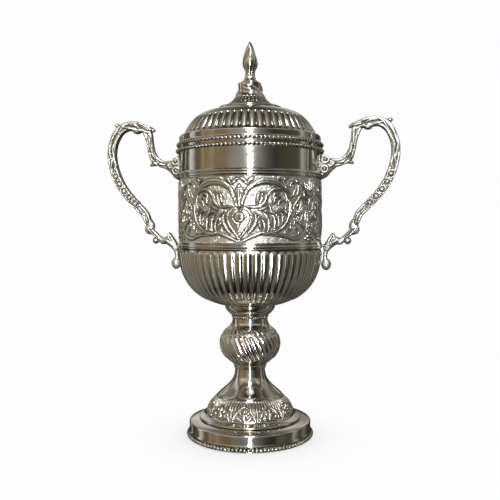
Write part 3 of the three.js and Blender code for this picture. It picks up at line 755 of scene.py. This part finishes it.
def build_lid():
    """Domed lid with its sleeve and beaded wire, and the pedestal on top."""
    low, high, reach = size("lid_dome")
    shoulder = low + 13.5
    curve = bend((68.8, shoulder + 0.4), (64.4, 319.4), (56.4, 330.8), (44, 333.4), 80)
    outline = spun(
        line((reach, low), (reach, low + 4.8), (reach - 1, low + 5.6), (reach - 1, shoulder - 2.6)),
        arc((reach - 2.6, shoulder - 2.4), 1.6, 0, 75),
        line((70.4, shoulder - 0.6), (69.6, shoulder)), curve,
        line((36, high - 0.4), (34, high), (3.2, high)), spacing=0.5,
    )
    inside = even(np.vstack([
        line((3.2, high - WALL), (34, high - WALL)),
        bend((43.6, 332.2), (55.6, 329.4), (63.2, 318.6), (67.6, shoulder - WALL)),
        line((reach - 1 - WALL, shoulder - 3.6), (reach - 1 - WALL, low)),
    ]), 2)
    start = reach_point(outline, curve[0]) + 0.2
    stop = reach_radius(outline, 56.5, above=shoulder)
    relief = flutes(LID_FLUTES, start, stop, 1.6, ridge=0.24, top=1.3)
    turned("lid_dome", outline, inside, relief, sides=LID_FLUTES * 16)

    low, high, reach = size("lid_bezel")
    slip = reach - 0.3
    outline = spun(line((slip, low), (slip, low + 9), (reach, low + 10), (reach, high)), passes=1)
    turned("lid_bezel", outline, lining(outline))

    back = size("lid_dome")[2] + SOLDER
    beading("lid_beading", back, RIM_BEADS, lean=BEAD_LEAN)

    low, high, reach = size("finial_pedestal")
    curve = bend((30.6, low + 3.4), (20.5, 341.4), (14.6, 347), (12.3, 360), 60)
    outline = spun(
        line((reach - 0.9, low)), arc((reach - 1.6, low + 1.6), 1.6, -60, 120), curve,
        line((12.1, high - 2.6)), arc((10.7, high - 1.6), 1.5, 0, 90), line((5, high)), spacing=0.4,
    )
    inside = even(line(
        (5, high - WALL), (9.8, high - 2), (11, 360), (13.6, 350), (19, 343.4), (29.4, low + 1.4),
        (30.2, low),
    ), 2)
    start = reach_point(outline, curve[0]) + 0.3
    small = flutes(PEDESTAL_FLUTES, start, start + 18, 0.8, ridge=0.2)

    def wrinkled(theta, along, radius):
        height, recess, matte = small(theta, along, radius)
        above = np.clip((along - start - 17) / 4, 0, 1)
        return height + 0.5 * above * np.sin(3 * theta + along * 0.6), recess, matte

    turned("finial_pedestal", outline, inside, wrinkled, sides=PEDESTAL_FLUTES * 14)


def build_finial():
    """Cast bud whose closed petals twist round one another."""
    low, high, _ = size("finial")
    seat = size("finial_pedestal")[1] + SOLDER
    outline = spun(
        line((0, low), (2.4, low + 0.3), (2.5, seat - SOLDER), (8.2, seat)),
        arc((7.6, seat + 0.8), 0.8, -60, 60, 8),
        bend((7.6, seat + 1.6), (5.6, 368), (5.2, 371), (5.1, 374.6)),
        bend((5.1, 374.6), (5.4, 379), (7.8, 380), (7.9, 383.8)),
        bend((7.9, 383.8), (8, 389.5), (3.8, 403.5), (0, high)), spacing=0.35, passes=1,
    )

    def petals(theta, along, radius):
        rise = np.clip((outline[:, 1:] - 366) / (high - 366), 0, 1)
        shape = np.sin(rise * math.pi) ** 0.6 * np.minimum(radius / 6, 1)
        fold = np.abs(np.sin(1.5 * theta - 3.5 * rise - 0.8))
        return (fold ** 0.6 - 0.75) * 1.4 * shape, (1 - fold) ** 4 * shape, 0 * fold

    turned("finial", outline, None, petals, sides=144)


# ---- Handles ----------------------------------------------------------------

def bar(stations, sides=28, hollow=0.0, square=2.6):
    """Closed bar along a smooth line in the XZ plane. A station is X, Z, width and depth;
    hollow sinks the middle of the front and back faces so that their edges stand as rims."""
    path = spline(stations, 0.8)
    along = np.gradient(path[:, :2], axis=0)
    along /= np.linalg.norm(along, axis=1)[:, None]
    a = np.arange(sides) * 2 * math.pi / sides
    ca, sa = np.cos(a), np.sin(a)
    across = np.sign(ca) * np.abs(ca) ** (2 / square)
    facing = np.sign(sa) * np.abs(sa) ** (2 / square)
    facing = facing * (1 - hollow * np.clip(1 - (across / 0.62) ** 2, 0, 1))
    x = path[:, :1] - along[:, 1:] * path[:, 2:3] / 2 * across
    z = path[:, 1:2] + along[:, :1] * path[:, 2:3] / 2 * across
    y = path[:, 3:4] / 2 * facing
    rings = np.stack([x, y, z], -1)
    ends = [rings[0].mean(0), rings[-1].mean(0)]
    return np.vstack([rings.reshape(-1, 3), ends]), capped_faces(len(rings), sides)


def rounded(x, y, z, rx, ry, rz, rows=12, sides=20):
    """An ellipsoid."""
    a = np.linspace(-math.pi / 2, math.pi / 2, rows + 1)[1:-1, None]
    t = np.arange(sides)[None, :] * 2 * math.pi / sides
    level = z + rz * np.sin(a) + 0 * t
    shell = np.stack([x + rx * np.cos(a) * np.cos(t), y + ry * np.cos(a) * np.sin(t), level], -1)
    poles = [[x, y, z - rz], [x, y, z + rz]]
    return np.vstack([shell.reshape(-1, 3), poles]), capped_faces(rows - 1, sides)


def hoop(x, y, z, radius, thickness, sides=28, around=10):
    """A small ring lying in the XZ plane."""
    t = np.arange(sides)[None, :] * 2 * math.pi / sides
    a = np.arange(around)[:, None] * 2 * math.pi / around
    reach = radius + thickness * np.cos(a)
    ring = np.stack([x + reach * np.cos(t), y + thickness * np.sin(a) + 0 * t, z + reach * np.sin(t)], -1)
    return ring.reshape(-1, 3), [ring_faces(around, sides, True)]


def merge(parts):
    """Puts separate closed meshes into one list of vertices and faces."""
    vertices, faces, count = [], [], 0
    for v, f in parts:
        vertices.append(v)
        faces += [face + count for face in f]
        count += len(v)
    return np.vstack(vertices), faces


def handle_bars():
    """The structural parts of the right handle, from the pad on the bowl to the hanging foot."""
    bow = [(107, 317, 8, 9), (115, 319.4, 8.8, 10), (123, 321.4, 10.4, 10.4), (132, 321.4, 9.4, 10.4),
           (139.6, 317.2, 9.4, 10.2), (145.4, 308.4, 9, 10), (148.4, 297, 8.8, 9.8), (148.2, 285.6, 9, 9.6),
           (145.2, 273, 9.2, 9.6), (139.4, 260, 9, 9.4), (130.6, 247.6, 8.6, 9.2), (120.6, 237, 8.2, 9),
           (112.4, 228.4, 8, 8.6), (108.8, 220, 7.6, 8)]
    return [
        bar(bow, hollow=0.22, square=6),
        bar([(84, 279.8, 9, 12), (90, 280.2, 8, 9), (95, 281.6, 7.6, 8), (101.5, 286, 9, 8.6),
             (105, 294, 7.2, 8.6), (106.8, 303, 7, 8.8), (108.4, 311, 8.6, 9), (111, 318, 10, 9)],
            hollow=0.2, square=5),
        bar([(97, 284, 6, 7), (102, 281.6, 5.4, 6), (107, 279.6, 2.2, 2.6)]),
        bar([(112, 318.4, 8, 9), (106.5, 317.8, 6, 8), (101.6, 316.4, 2.4, 5)]),
        bar([(108.6, 221, 8, 8), (106.4, 215.6, 9.6, 8), (108.4, 211.4, 8.4, 8), (103, 208.6, 5.8, 7),
             (97.4, 203.6, 5.2, 7), (92, 199, 7, 8)]),
        bar([(93.6, 199, 6, 8), (88, 200.6, 8.6, 9), (82, 197, 9.4, 9.4), (78.6, 191, 5.6, 8)]),
        bar([(88.4, 198, 8, 9), (86.6, 204, 4.4, 9.6), (85.8, 208.8, 1.4, 10)]),
        bar([(85.6, 207.6, 2.6, 9.4), (81, 200, 4, 9), (76.4, 191.6, 2.6, 7)]),
        bar([(80, 195, 7, 8), (78, 188, 4.6, 6.6), (77.6, 182, 4.4, 6.4), (78.4, 176, 6, 7)]),
        rounded(78.6, 0, 176.4, 5.2, 4.6, 6.2),
        rounded(100.4, 0, 200.6, 3.9, 4.4, 3.7),
        bar([(131, 321.6, 8, 9), (137.6, 321.2, 6.6, 8), (142.8, 322.4, 3, 4)]),
        rounded(143.4, 0, 323, 2.4, 2.6, 2.3),
        rounded(121, 0, 316.4, 4.6, 5.2, 3.2),
    ]


def handle_pad():
    """Leaf-shaped pad that swells from the arm to the bowl, with scrolled edges."""
    reach = size("bowl_barrel")[2]
    parts = [bar([(reach - 2, 276, 27, 15), (reach + 2, 276.4, 23.6, 15.6), (reach + 6, 277.6, 17.6, 14.6),
                  (reach + 10, 278.8, 13, 12.4), (reach + 14, 279.6, 10, 11)], square=2.4)]
    for side in (-1, 1):
        for out, level, radius in ((4.2, 283.2, 3.3), (3.4, 273.4, 3.3), (9.8, 279, 2.4)):
            face = side * (8.3 - out * 0.24)
            parts.append(hoop(reach + out, face, level, radius, 1.0))
            parts.append(rounded(reach + out, face, level, 1.4, 1.4, 1.4))
        parts.append(rounded(reach + 1.4, side * 6, 287.2, 1.8, 1.8, 1.8))
        parts.append(rounded(reach + 1.4, side * 6, 268, 1.8, 1.8, 2.2))
    return parts


ROSETTE = 3.8   # radius of the ring round each rosette on the handles


def rosettes():
    """Middles of the five rosettes down the diagonal of the bow."""
    row = spline([(143.6, 268), (138, 257), (130.6, 247.6), (122.6, 239)], 0.5)
    return row[np.linspace(0, len(row) - 1, 5).astype(int)]


def rosette_grooves(co):
    """1 along the groove between a rosette's boss and its ring, falling to 0 beside it."""
    gap = np.full(len(co), ROSETTE)
    for x, z in rosettes():
        gap = np.minimum(gap, np.abs(np.hypot(co[:, 0] - x, co[:, 2] - z) - ROSETTE * 0.74))
    return 0.9 * np.clip(1.4 - gap / 0.5, 0, 1)


def handle_relief():
    """Rosettes down the diagonal, and leaf ribs on the arch, the bend and the riser."""
    parts = []
    for x, z in rosettes():
        for side in (-1, 1):
            parts.append(hoop(x, side * 4.4, z, ROSETTE, 0.7))
            parts.append(rounded(x, side * 3.9, z, ROSETTE * 0.6, 1.9, ROSETTE * 0.6))
    leaves = [
        [(118, 319, 0.8), (122, 322.4, 1.5), (129, 323.6, 0.8)],
        [(124, 318.6, 0.8), (130, 319.4, 1.5), (136.6, 321, 0.7)],
        [(131, 324.6, 0.7), (136.6, 320.4, 1.4), (141, 313.6, 0.7)],
        [(139.6, 319.6, 0.6), (146, 311, 1.2), (150, 300, 0.5)],
        [(143.4, 306, 0.6), (146.6, 299, 1.3), (146, 288, 0.6)],
        [(150.4, 300, 0.6), (149.8, 292, 1.3), (147, 282, 0.6)],
        [(145.6, 290, 0.6), (147.8, 283, 1.3), (148.6, 276, 0.5)],
        [(143, 281, 0.6), (144.6, 275.6, 1.1), (146.4, 270.6, 0.5)],
        [(112, 321.6, 0.7), (117, 323.4, 1.3), (122.6, 324.6, 0.6)],
        [(112.6, 316.6, 0.7), (117, 317, 1.4), (121.6, 314.6, 0.9)],
        [(104.4, 317.4, 0.7), (109, 318.2, 1.4), (114, 320, 0.7)],
        [(107.4, 313, 0.6), (106.4, 306, 1.3), (105.8, 298, 0.6)],
        [(109.6, 309, 0.5), (108.6, 302, 1.1), (107, 294, 0.5)],
        [(104.4, 299, 0.5), (103.4, 292, 1.2), (99.6, 286, 0.6)],
        [(106, 291, 0.5), (104.6, 286.4, 1.1), (101.6, 283.6, 0.5)],
        [(99.6, 284.6, 0.5), (95, 281, 1.3), (89.6, 280, 0.8)],
        [(119.6, 236.4, 0.5), (115.4, 231.4, 1.2), (111, 226, 0.5)],
        [(112.4, 229.6, 0.5), (109.6, 224, 1.1), (108.6, 217.6, 0.6)],
        [(109, 213.4, 0.5), (103.4, 207.4, 1.1), (97.6, 202.6, 0.6)],
        [(91.6, 200.6, 0.5), (86.6, 199.6, 1.2), (81.6, 195.6, 0.7)],
        [(87, 205.6, 0.5), (85, 202, 1.1), (81.8, 197, 0.6)],
    ]
    for leaf in leaves:
        for side in (-1, 1):
            vertices, faces = bar([(x, z, 2.1 * w, 2.6 * w) for x, z, w in leaf], 12, square=2)
            parts.append((vertices + [0, side * 4.1, 0], faces))
    return parts


def remeshed(obj, voxel):
    """One closed skin over everything in the object."""
    modifier = obj.modifiers.new("skin", "REMESH")
    modifier.mode = "VOXEL"
    modifier.voxel_size = voxel * MM
    graph = bpy.context.evaluated_depsgraph_get()
    mesh = bpy.data.meshes.new_from_object(obj.evaluated_get(graph))
    bpy.data.objects.remove(obj)
    return mesh


def numbers(items, name, kind, width):
    """One property of a mesh's vertices, edges or loops, as an array."""
    values = np.zeros(len(items) * width, kind)
    items.foreach_get(name, values)
    return values.reshape(-1, width)


VOXEL, QUICK_VOXEL = 0.42, 0.9


def handle_skin():
    """Vertices, quads and recess of the right handle in millimetres: joined, smoothed and worn."""
    vertices, faces = merge(handle_bars() + handle_pad() + handle_relief())
    mesh = remeshed(make_object("handle_parts", vertices, faces), VOXEL)
    quads = numbers(mesh.loops, "vertex_index", np.int32, 1).reshape(-1, 4)
    edges = numbers(mesh.edges, "vertices", np.int32, 2)
    normal = numbers(mesh.vertices, "normal", np.float32, 3)
    co = numbers(mesh.vertices, "co", np.float32, 3).astype(float) / MM
    co = relaxed(co, edges, 2)
    co += normal * cast_grain(co)[:, None]
    co = clear_of_bowl(co)
    # Tarnish in the hollows, and painted shade on the faces that turn sideways.
    shade = np.maximum(hollowness(co, edges, normal), flank_shade(normal))
    return co, quads, np.maximum(shade, rosette_grooves(co))


def flank_shade(normal):
    """Painted shade on the surfaces that face sideways, which darkens the handle's outline."""
    return 0.8 * np.clip((0.6 - np.abs(normal[:, 1])) / 0.35, 0, 1)


def relaxed(co, edges, passes):
    """Moves each vertex towards the middle of its neighbours, which takes out voxel steps."""
    links = np.bincount(edges.ravel(), minlength=len(co))[:, None]
    for _ in range(passes):
        total = np.zeros_like(co)
        np.add.at(total, edges[:, 0], co[edges[:, 1]])
        np.add.at(total, edges[:, 1], co[edges[:, 0]])
        co = co * 0.5 + total / links * 0.5
    return co


def hollowness(co, edges, normal):
    """0 on ridges and flats, up to 1 in the hollows of the relief, where polish doesn't reach."""
    return np.clip(((relaxed(co, edges, 20) - co) * normal).sum(1) / 0.12, 0, 1)


def cast_grain(co):
    """Fine unevenness of a sand casting, a fixed sum of waves in three directions."""
    random = np.random.default_rng(SEED)
    total = np.zeros(len(co))
    for length, strength in ((7.0, 0.10), (3.6, 0.06), (2.3, 0.04)):
        for _ in range(3):
            direction = random.normal(size=3)
            direction *= 2 * math.pi / length / np.linalg.norm(direction)
            total += strength / 3 * np.sin(co @ direction + random.uniform(0, 6.28))
    return total


def clear_of_bowl(co):
    """Keeps the handle's root on the outside of the bowl, which narrows below its barrel."""
    reach = size("bowl_barrel")[2] + 0.35
    levels = [150, 162, 170, 176, 183, 190]
    floor = np.interp(co[:, 2], levels, [reach - inset for inset in (13, 6, 2.8, 1.4, 0.4, 0)])
    r = np.hypot(co[:, 0], co[:, 1])
    push = np.maximum(floor / np.maximum(r, 1e-6), 1)
    out = co.copy()
    out[:, :2] *= push[:, None]
    return out


def build_handles():
    """The right handle, and the same casting turned half round for the left one."""
    co, quads, recess = handle_skin()
    for node, turn in (("handle_right", 1), ("handle_left", -1)):
        piece(make_object(node.title(), co * [turn, turn, 1], [quads], 75, recess=recess), node)


# ---- Materials --------------------------------------------------------------

class Nodes:
    """Short calls for building a node tree."""

    def __init__(self, owner):
        owner.use_nodes = True
        self.tree = owner.node_tree
        self.tree.nodes.clear()

    def add(self, kind, **settings):
        node = self.tree.nodes.new(kind)
        for key, value in settings.items():
            if key in node.inputs:
                self.feed(value, node.inputs[key])
            else:
                setattr(node, key, value)
        return node

    def feed(self, value, socket):
        """Sets a socket to a number or a colour, or links it to another node's output."""
        if isinstance(value, bpy.types.NodeSocket):
            self.tree.links.new(value, socket)
        elif isinstance(value, tuple):
            socket.default_value = (*value, 1)
        else:
            socket.default_value = value

    def noise(self, scale, detail=3.0, roughness=0.55):
        place = self.add("ShaderNodeTexCoord")
        vector = place.outputs["Object"]
        settings = {"Scale": scale, "Detail": detail, "Roughness": roughness}
        return self.add("ShaderNodeTexNoise", Vector=vector, **settings).outputs["Fac"]

    def remap(self, value, low, high, to_low, to_high):
        node = self.add("ShaderNodeMapRange", Value=value)
        for key, number in (("From Min", low), ("From Max", high), ("To Min", to_low), ("To Max", to_high)):
            node.inputs[key].default_value = number
        return node.outputs["Result"]

    def math(self, operation, a, b=0.0):
        node = self.add("ShaderNodeMath", operation=operation)
        self.feed(a, node.inputs[0])
        self.feed(b, node.inputs[1])
        return node.outputs["Value"]

    def mix(self, factor, a, b, blend="MIX"):
        node = self.add("ShaderNodeMix", data_type="RGBA", blend_type=blend)
        self.feed(factor, node.inputs["Factor"])
        self.feed(a, node.inputs[6])
        self.feed(b, node.inputs[7])
        return node.outputs[2]

    def ramp(self, value, stops):
        """Colours between stops, each a place from 0 to 1 and a colour or a grey."""
        node = self.add("ShaderNodeValToRGB", Fac=value)
        elements = node.color_ramp.elements
        while len(elements) < len(stops):
            elements.new(1.0)
        for element, (place, colour) in zip(elements, stops):
            element.position = place
            element.color = (*colour, 1) if isinstance(colour, tuple) else (colour, colour, colour, 1)
        return node.outputs["Color"]

    def attribute(self, name):
        return self.add("ShaderNodeAttribute", attribute_name=name).outputs["Fac"]

    def finish(self, shader):
        """Links the last shader to the output."""
        kind = "World" if isinstance(self.tree.id_data, bpy.types.World) else "Material"
        output = self.add(f"ShaderNodeOutput{kind}")
        self.tree.links.new(shader, output.inputs["Surface"])


FROSTED_AND_HIGHLIGHT = (0.88, 0.87, 0.83)   # silver that the punches have turned pale and matt; on ribs, flute ridges and bead tops this pale colour is a painted highlight


def silver(name, clean, warm, dark, rough, grain):
    """Silver plate: clean metal, warm patches of old polish, tarnish in the recesses with painted
    shade in the bead gaps and on the handles' flanks, and a matted surface where the punches have
    been, whose paler colour is a painted highlight on ribs, flute ridges and bead tops."""
    material = bpy.data.materials.new(name)
    n = Nodes(material)
    patches = n.remap(n.noise(55.0, 4.0), 0.38, 0.66, 0.0, 1.0)
    matte = n.attribute("matte")
    # Matt places take the pale colour; on ribs, flute ridges and bead tops it is a painted highlight.
    metal = n.mix(n.math("MULTIPLY", matte, 0.75), n.mix(patches, clean, warm), FROSTED_AND_HIGHLIGHT)
    speckle = n.remap(n.noise(700.0, 2.0), 0.35, 0.7, 0.75, 1.15)
    # Tarnish in the recesses, and painted shade in the bead gaps and on the handles' flanks.
    tarnish_and_shade = n.math("MULTIPLY", n.attribute("recess"), speckle)
    wear = n.remap(n.noise(130.0, 5.0, 0.65), 0.3, 0.75, rough * 0.7, rough * 1.5)
    matted = n.math("MULTIPLY", matte, 0.34)
    roughness = n.math("ADD", n.math("ADD", wear, n.math("MULTIPLY", tarnish_and_shade, 0.2)), matted)
    bump = n.add("ShaderNodeBump", Strength=grain, Distance=0.0004, Height=n.noise(1200.0, 2.0))
    shader = n.add(
        "ShaderNodeBsdfPrincipled", Metallic=1.0, Roughness=roughness, Normal=bump.outputs["Normal"],
        **{"Base Color": n.mix(tarnish_and_shade, metal, dark)},
    )
    n.finish(shader.outputs["BSDF"])
    return material


def fastener(name, colour, rough):
    """Turned metal with fine machining marks."""
    material = bpy.data.materials.new(name)
    n = Nodes(material)
    marks = n.remap(n.noise(420.0, 6.0, 0.7), 0.3, 0.7, 0.8, 1.1)
    tint = n.mix(n.noise(90.0), colour, tuple(c * 0.7 for c in colour))
    shader = n.add(
        "ShaderNodeBsdfPrincipled", Metallic=1.0, Roughness=n.math("MULTIPLY", marks, rough),
        **{"Base Color": tint},
    )
    n.finish(shader.outputs["BSDF"])
    return material


# The function that makes each slot's material, and its settings.
FINISHES = {
    "silver_plate": (silver, (0.70, 0.68, 0.63), (0.62, 0.58, 0.50), (0.10, 0.085, 0.06), 0.085, 0.06),
    "cast_silver": (silver, (0.84, 0.83, 0.80), (0.74, 0.72, 0.67), (0.14, 0.12, 0.09), 0.42, 0.12),
    "steel_fastener": (fastener, (0.5, 0.49, 0.47), 0.42),
    "brass_fastener": (fastener, (0.50, 0.43, 0.30), 0.36),
}
MATERIALS = {slot: make(slot, *settings) for slot, (make, *settings) in FINISHES.items()}
SLOT_OF = {row["node"]: row["material_slot"] for row in frame["record"]["subparts"]}
LID_NODES = frame["record"]["behaviour"]["bodies"]["lid"]


def piece(obj, node):
    """Gives a piece its material and lets it stand for a CAD node, on that node's body."""
    obj.data.materials.append(MATERIALS[SLOT_OF[node]])
    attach(obj, "lid" if node in LID_NODES else "cup")
    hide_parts(node)


def dress_fasteners():
    """Bolts, nuts, screws and washers keep their CAD shape and take a turned-metal material."""
    for node, obj in frame["nodes"].items():
        if not obj.hide_render:
            obj.data.materials.clear()
            obj.data.materials.append(MATERIALS[SLOT_OF[node]])


# ---- Floor, light and camera ------------------------------------------------

EYE_DISTANCE = 0.702
EYE_HEIGHT = 0.2125
EYE_TURN = math.radians(8)
EYE_SHIFT = -0.042          # of the picture's middle, in sensor widths
SENSOR = 36
FOCAL_IN_SENSORS = 1.35
BACKDROP = 0.985            # brightness of everything behind the cup


def build_floor():
    """Pale floor with a soft contact shadow."""
    bpy.ops.mesh.primitive_plane_add(size=12, location=(0, 0, -0.0002))
    floor = bpy.context.object
    floor.name = "floor"
    material = bpy.data.materials.new("pale_floor")
    n = Nodes(material)
    occlusion = n.add("ShaderNodeAmbientOcclusion", Distance=0.11)
    shade = n.remap(occlusion.outputs["AO"], 0.0, 1.0, 0.62, BACKDROP)
    n.finish(n.add("ShaderNodeEmission", Strength=shade).outputs["Emission"])
    floor.data.materials.append(material)
    floor.visible_glossy = False
    floor.visible_diffuse = False


# The room that the metal mirrors. Walls are colours at degrees round from the camera, seen
# from the cup: negative is to the camera's left, and 180 is behind the cup.
WALLS = [
    (-180, (0.03, 0.03, 0.025)),
    (-148, (0.04, 0.035, 0.028)), (-145, (0.50, 0.49, 0.45)), (-141, (0.50, 0.49, 0.45)),
    (-138, (0.05, 0.045, 0.035)), (-113, (0.10, 0.085, 0.065)), (-109, (0.85, 0.88, 0.88)),
    (-100, (0.50, 0.52, 0.50)), (-95, (0.14, 0.12, 0.09)), (-85, (0.17, 0.13, 0.08)),
    (-80, (0.42, 0.30, 0.17)), (-74, (0.24, 0.20, 0.13)), (-62, (0.38, 0.31, 0.20)),
    (-56, (0.24, 0.20, 0.13)), (-38, (0.27, 0.20, 0.12)), (-28, (0.32, 0.31, 0.26)),
    (-16, (0.33, 0.33, 0.30)), (-3, (0.50, 0.51, 0.51)),
    (1, (0.50, 0.51, 0.51)), (13, (0.25, 0.26, 0.25)),
    (27, (0.10, 0.10, 0.10)), (38, (0.045, 0.045, 0.04)), (52, (0.065, 0.06, 0.045)),
    (84, (0.10, 0.09, 0.07)), (90, (0.48, 0.50, 0.48)), (96, (0.30, 0.30, 0.27)),
    (103, (0.10, 0.08, 0.06)), (110, (0.05, 0.05, 0.04)), (121, (0.26, 0.25, 0.21)),
    (135, (0.05, 0.045, 0.035)), (180, (0.03, 0.03, 0.025)),
]
# How much of the walls is seen at degrees above the horizon.
WALL_HEIGHT = [(-90, 0.0), (-60, 0.1), (-30, 0.42), (-14, 0.9), (0, 1.0), (30, 1.0), (48, 0.5),
               (70, 0.1), (90, 0.05)]

# Each light has the turns away from the camera that it lies between, on both sides, its
# strength, and its brightness at degrees above the horizon. The flash is a tall streak because
# the polish marks run round the cup.
FLASH = (-1.0, 0.95, 100.0, [(-54, 0.0), (-36, 0.2), (-18, 0.9), (-8, 1.0), (22, 1.0), (36, 0.0)])
FLASH_TINT = (0.93, 0.97, 1.0)
CEILING_LAMP = (-1.0, 12.0, 8.0, [(44, 0.0), (48, 1.0), (60, 1.0), (64, 0.0)])
FRONT_BOX = (-1.0, 75.0, 0.25, [(18, 0.0), (26, 1.0), (46, 1.0), (54, 0.0)])
SIDE_BOX = (92.0, 150.0, 0.2, [(14, 0.0), (24, 1.0), (50, 1.0), (62, 0.0)])
BACK_BOX = (150.0, 181.0, 0.5, [(6, 0.0), (13, 1.0), (30, 1.0), (42, 0.3), (60, 0.0)])
CEILING = (-1.0, 181.0, 1.0, [(20, 0.0), (45, 0.10), (70, 0.06), (90, 0.05)])
TABLE = (50.0, 181.0, 0.65, [(-90, 0.02), (-66, 0.05), (-52, 0.16), (-30, 0.16), (-16, 0.0)])
GLOW_TINT = (1.0, 0.97, 0.92)


def by_height(stops):
    """Ramp stops by the sine of the elevation, moved to 0 to 1."""
    return [((math.sin(math.radians(degrees)) + 1) / 2, value) for degrees, value in stops]


def build_world():
    """White to the camera; to the metal, a dim warm room with brighter and darker walls."""
    world = bpy.data.worlds.new("studio")
    bpy.context.scene.world = world
    n = Nodes(world)
    direction = n.add("ShaderNodeTexCoord").outputs["Generated"]
    x, y, z = n.add("ShaderNodeSeparateXYZ", Vector=direction).outputs
    turn = n.math("SUBTRACT", n.math("ARCTAN2", x, n.math("MULTIPLY", y, -1.0)), EYE_TURN)
    share = n.math("FRACT", n.math("ADD", n.math("DIVIDE", turn, 2 * math.pi), 0.5))
    level = n.remap(z, -1.0, 1.0, 0.0, 1.0)
    walls = n.ramp(share, [(0.5 + degrees / 360, colour) for degrees, colour in WALLS])
    walls = n.mix(1.0, walls, n.ramp(level, by_height(WALL_HEIGHT)), "MULTIPLY")
    patches = n.add("ShaderNodeTexNoise", Vector=direction, Scale=2.6, Detail=2.0).outputs["Fac"]
    mottle = n.remap(patches, 0.4, 0.62, 0.55, 1.5)
    around = n.math("MULTIPLY", n.math("ABSOLUTE", n.math("SUBTRACT", share, 0.5)), 360.0)

    def light(nearest, farthest, strength, heights):
        beyond = n.math("GREATER_THAN", around, nearest)
        inside = n.math("MULTIPLY", beyond, n.math("LESS_THAN", around, farthest))
        return n.math("MULTIPLY", n.math("MULTIPLY", inside, n.ramp(level, by_height(heights))), strength)

    flash = n.mix(1.0, FLASH_TINT, light(*FLASH), "MULTIPLY")
    glow = light(*CEILING_LAMP)
    for settings in (FRONT_BOX, SIDE_BOX, BACK_BOX, CEILING, TABLE):
        glow = n.math("ADD", glow, light(*settings))
    glow = n.mix(1.0, GLOW_TINT, n.math("MULTIPLY", glow, mottle), "MULTIPLY")
    room = n.mix(1.0, n.mix(1.0, walls, flash, "ADD"), glow, "ADD")
    lit = n.add("ShaderNodeBackground", Color=room)
    seen = n.add("ShaderNodeBackground", Color=(1.0, 1.0, 1.0), Strength=BACKDROP)
    choose = n.add("ShaderNodeMixShader", Fac=n.add("ShaderNodeLightPath").outputs["Is Camera Ray"])
    n.feed(lit.outputs["Background"], choose.inputs[1])
    n.feed(seen.outputs["Background"], choose.inputs[2])
    n.finish(choose.outputs["Shader"])


def build_camera():
    """A level camera a little to the right of the cup's front."""
    data = bpy.data.cameras.new("camera")
    data.sensor_width = SENSOR
    data.lens = SENSOR * FOCAL_IN_SENSORS
    data.shift_y = EYE_SHIFT
    obj = bpy.data.objects.new("camera", data)
    bpy.context.scene.collection.objects.link(obj)
    obj.location = (EYE_DISTANCE * math.sin(EYE_TURN), -EYE_DISTANCE * math.cos(EYE_TURN), EYE_HEIGHT)
    obj.rotation_euler = (math.pi / 2, 0, EYE_TURN)
    bpy.context.scene.camera = obj


build_foot()
build_stem()
build_bowl()
build_lid()
build_finial()
build_handles()
dress_fasteners()
build_floor()
build_world()
build_camera()

scene = bpy.context.scene
scene.view_settings.view_transform = "Standard"
scene.view_settings.look = "None"
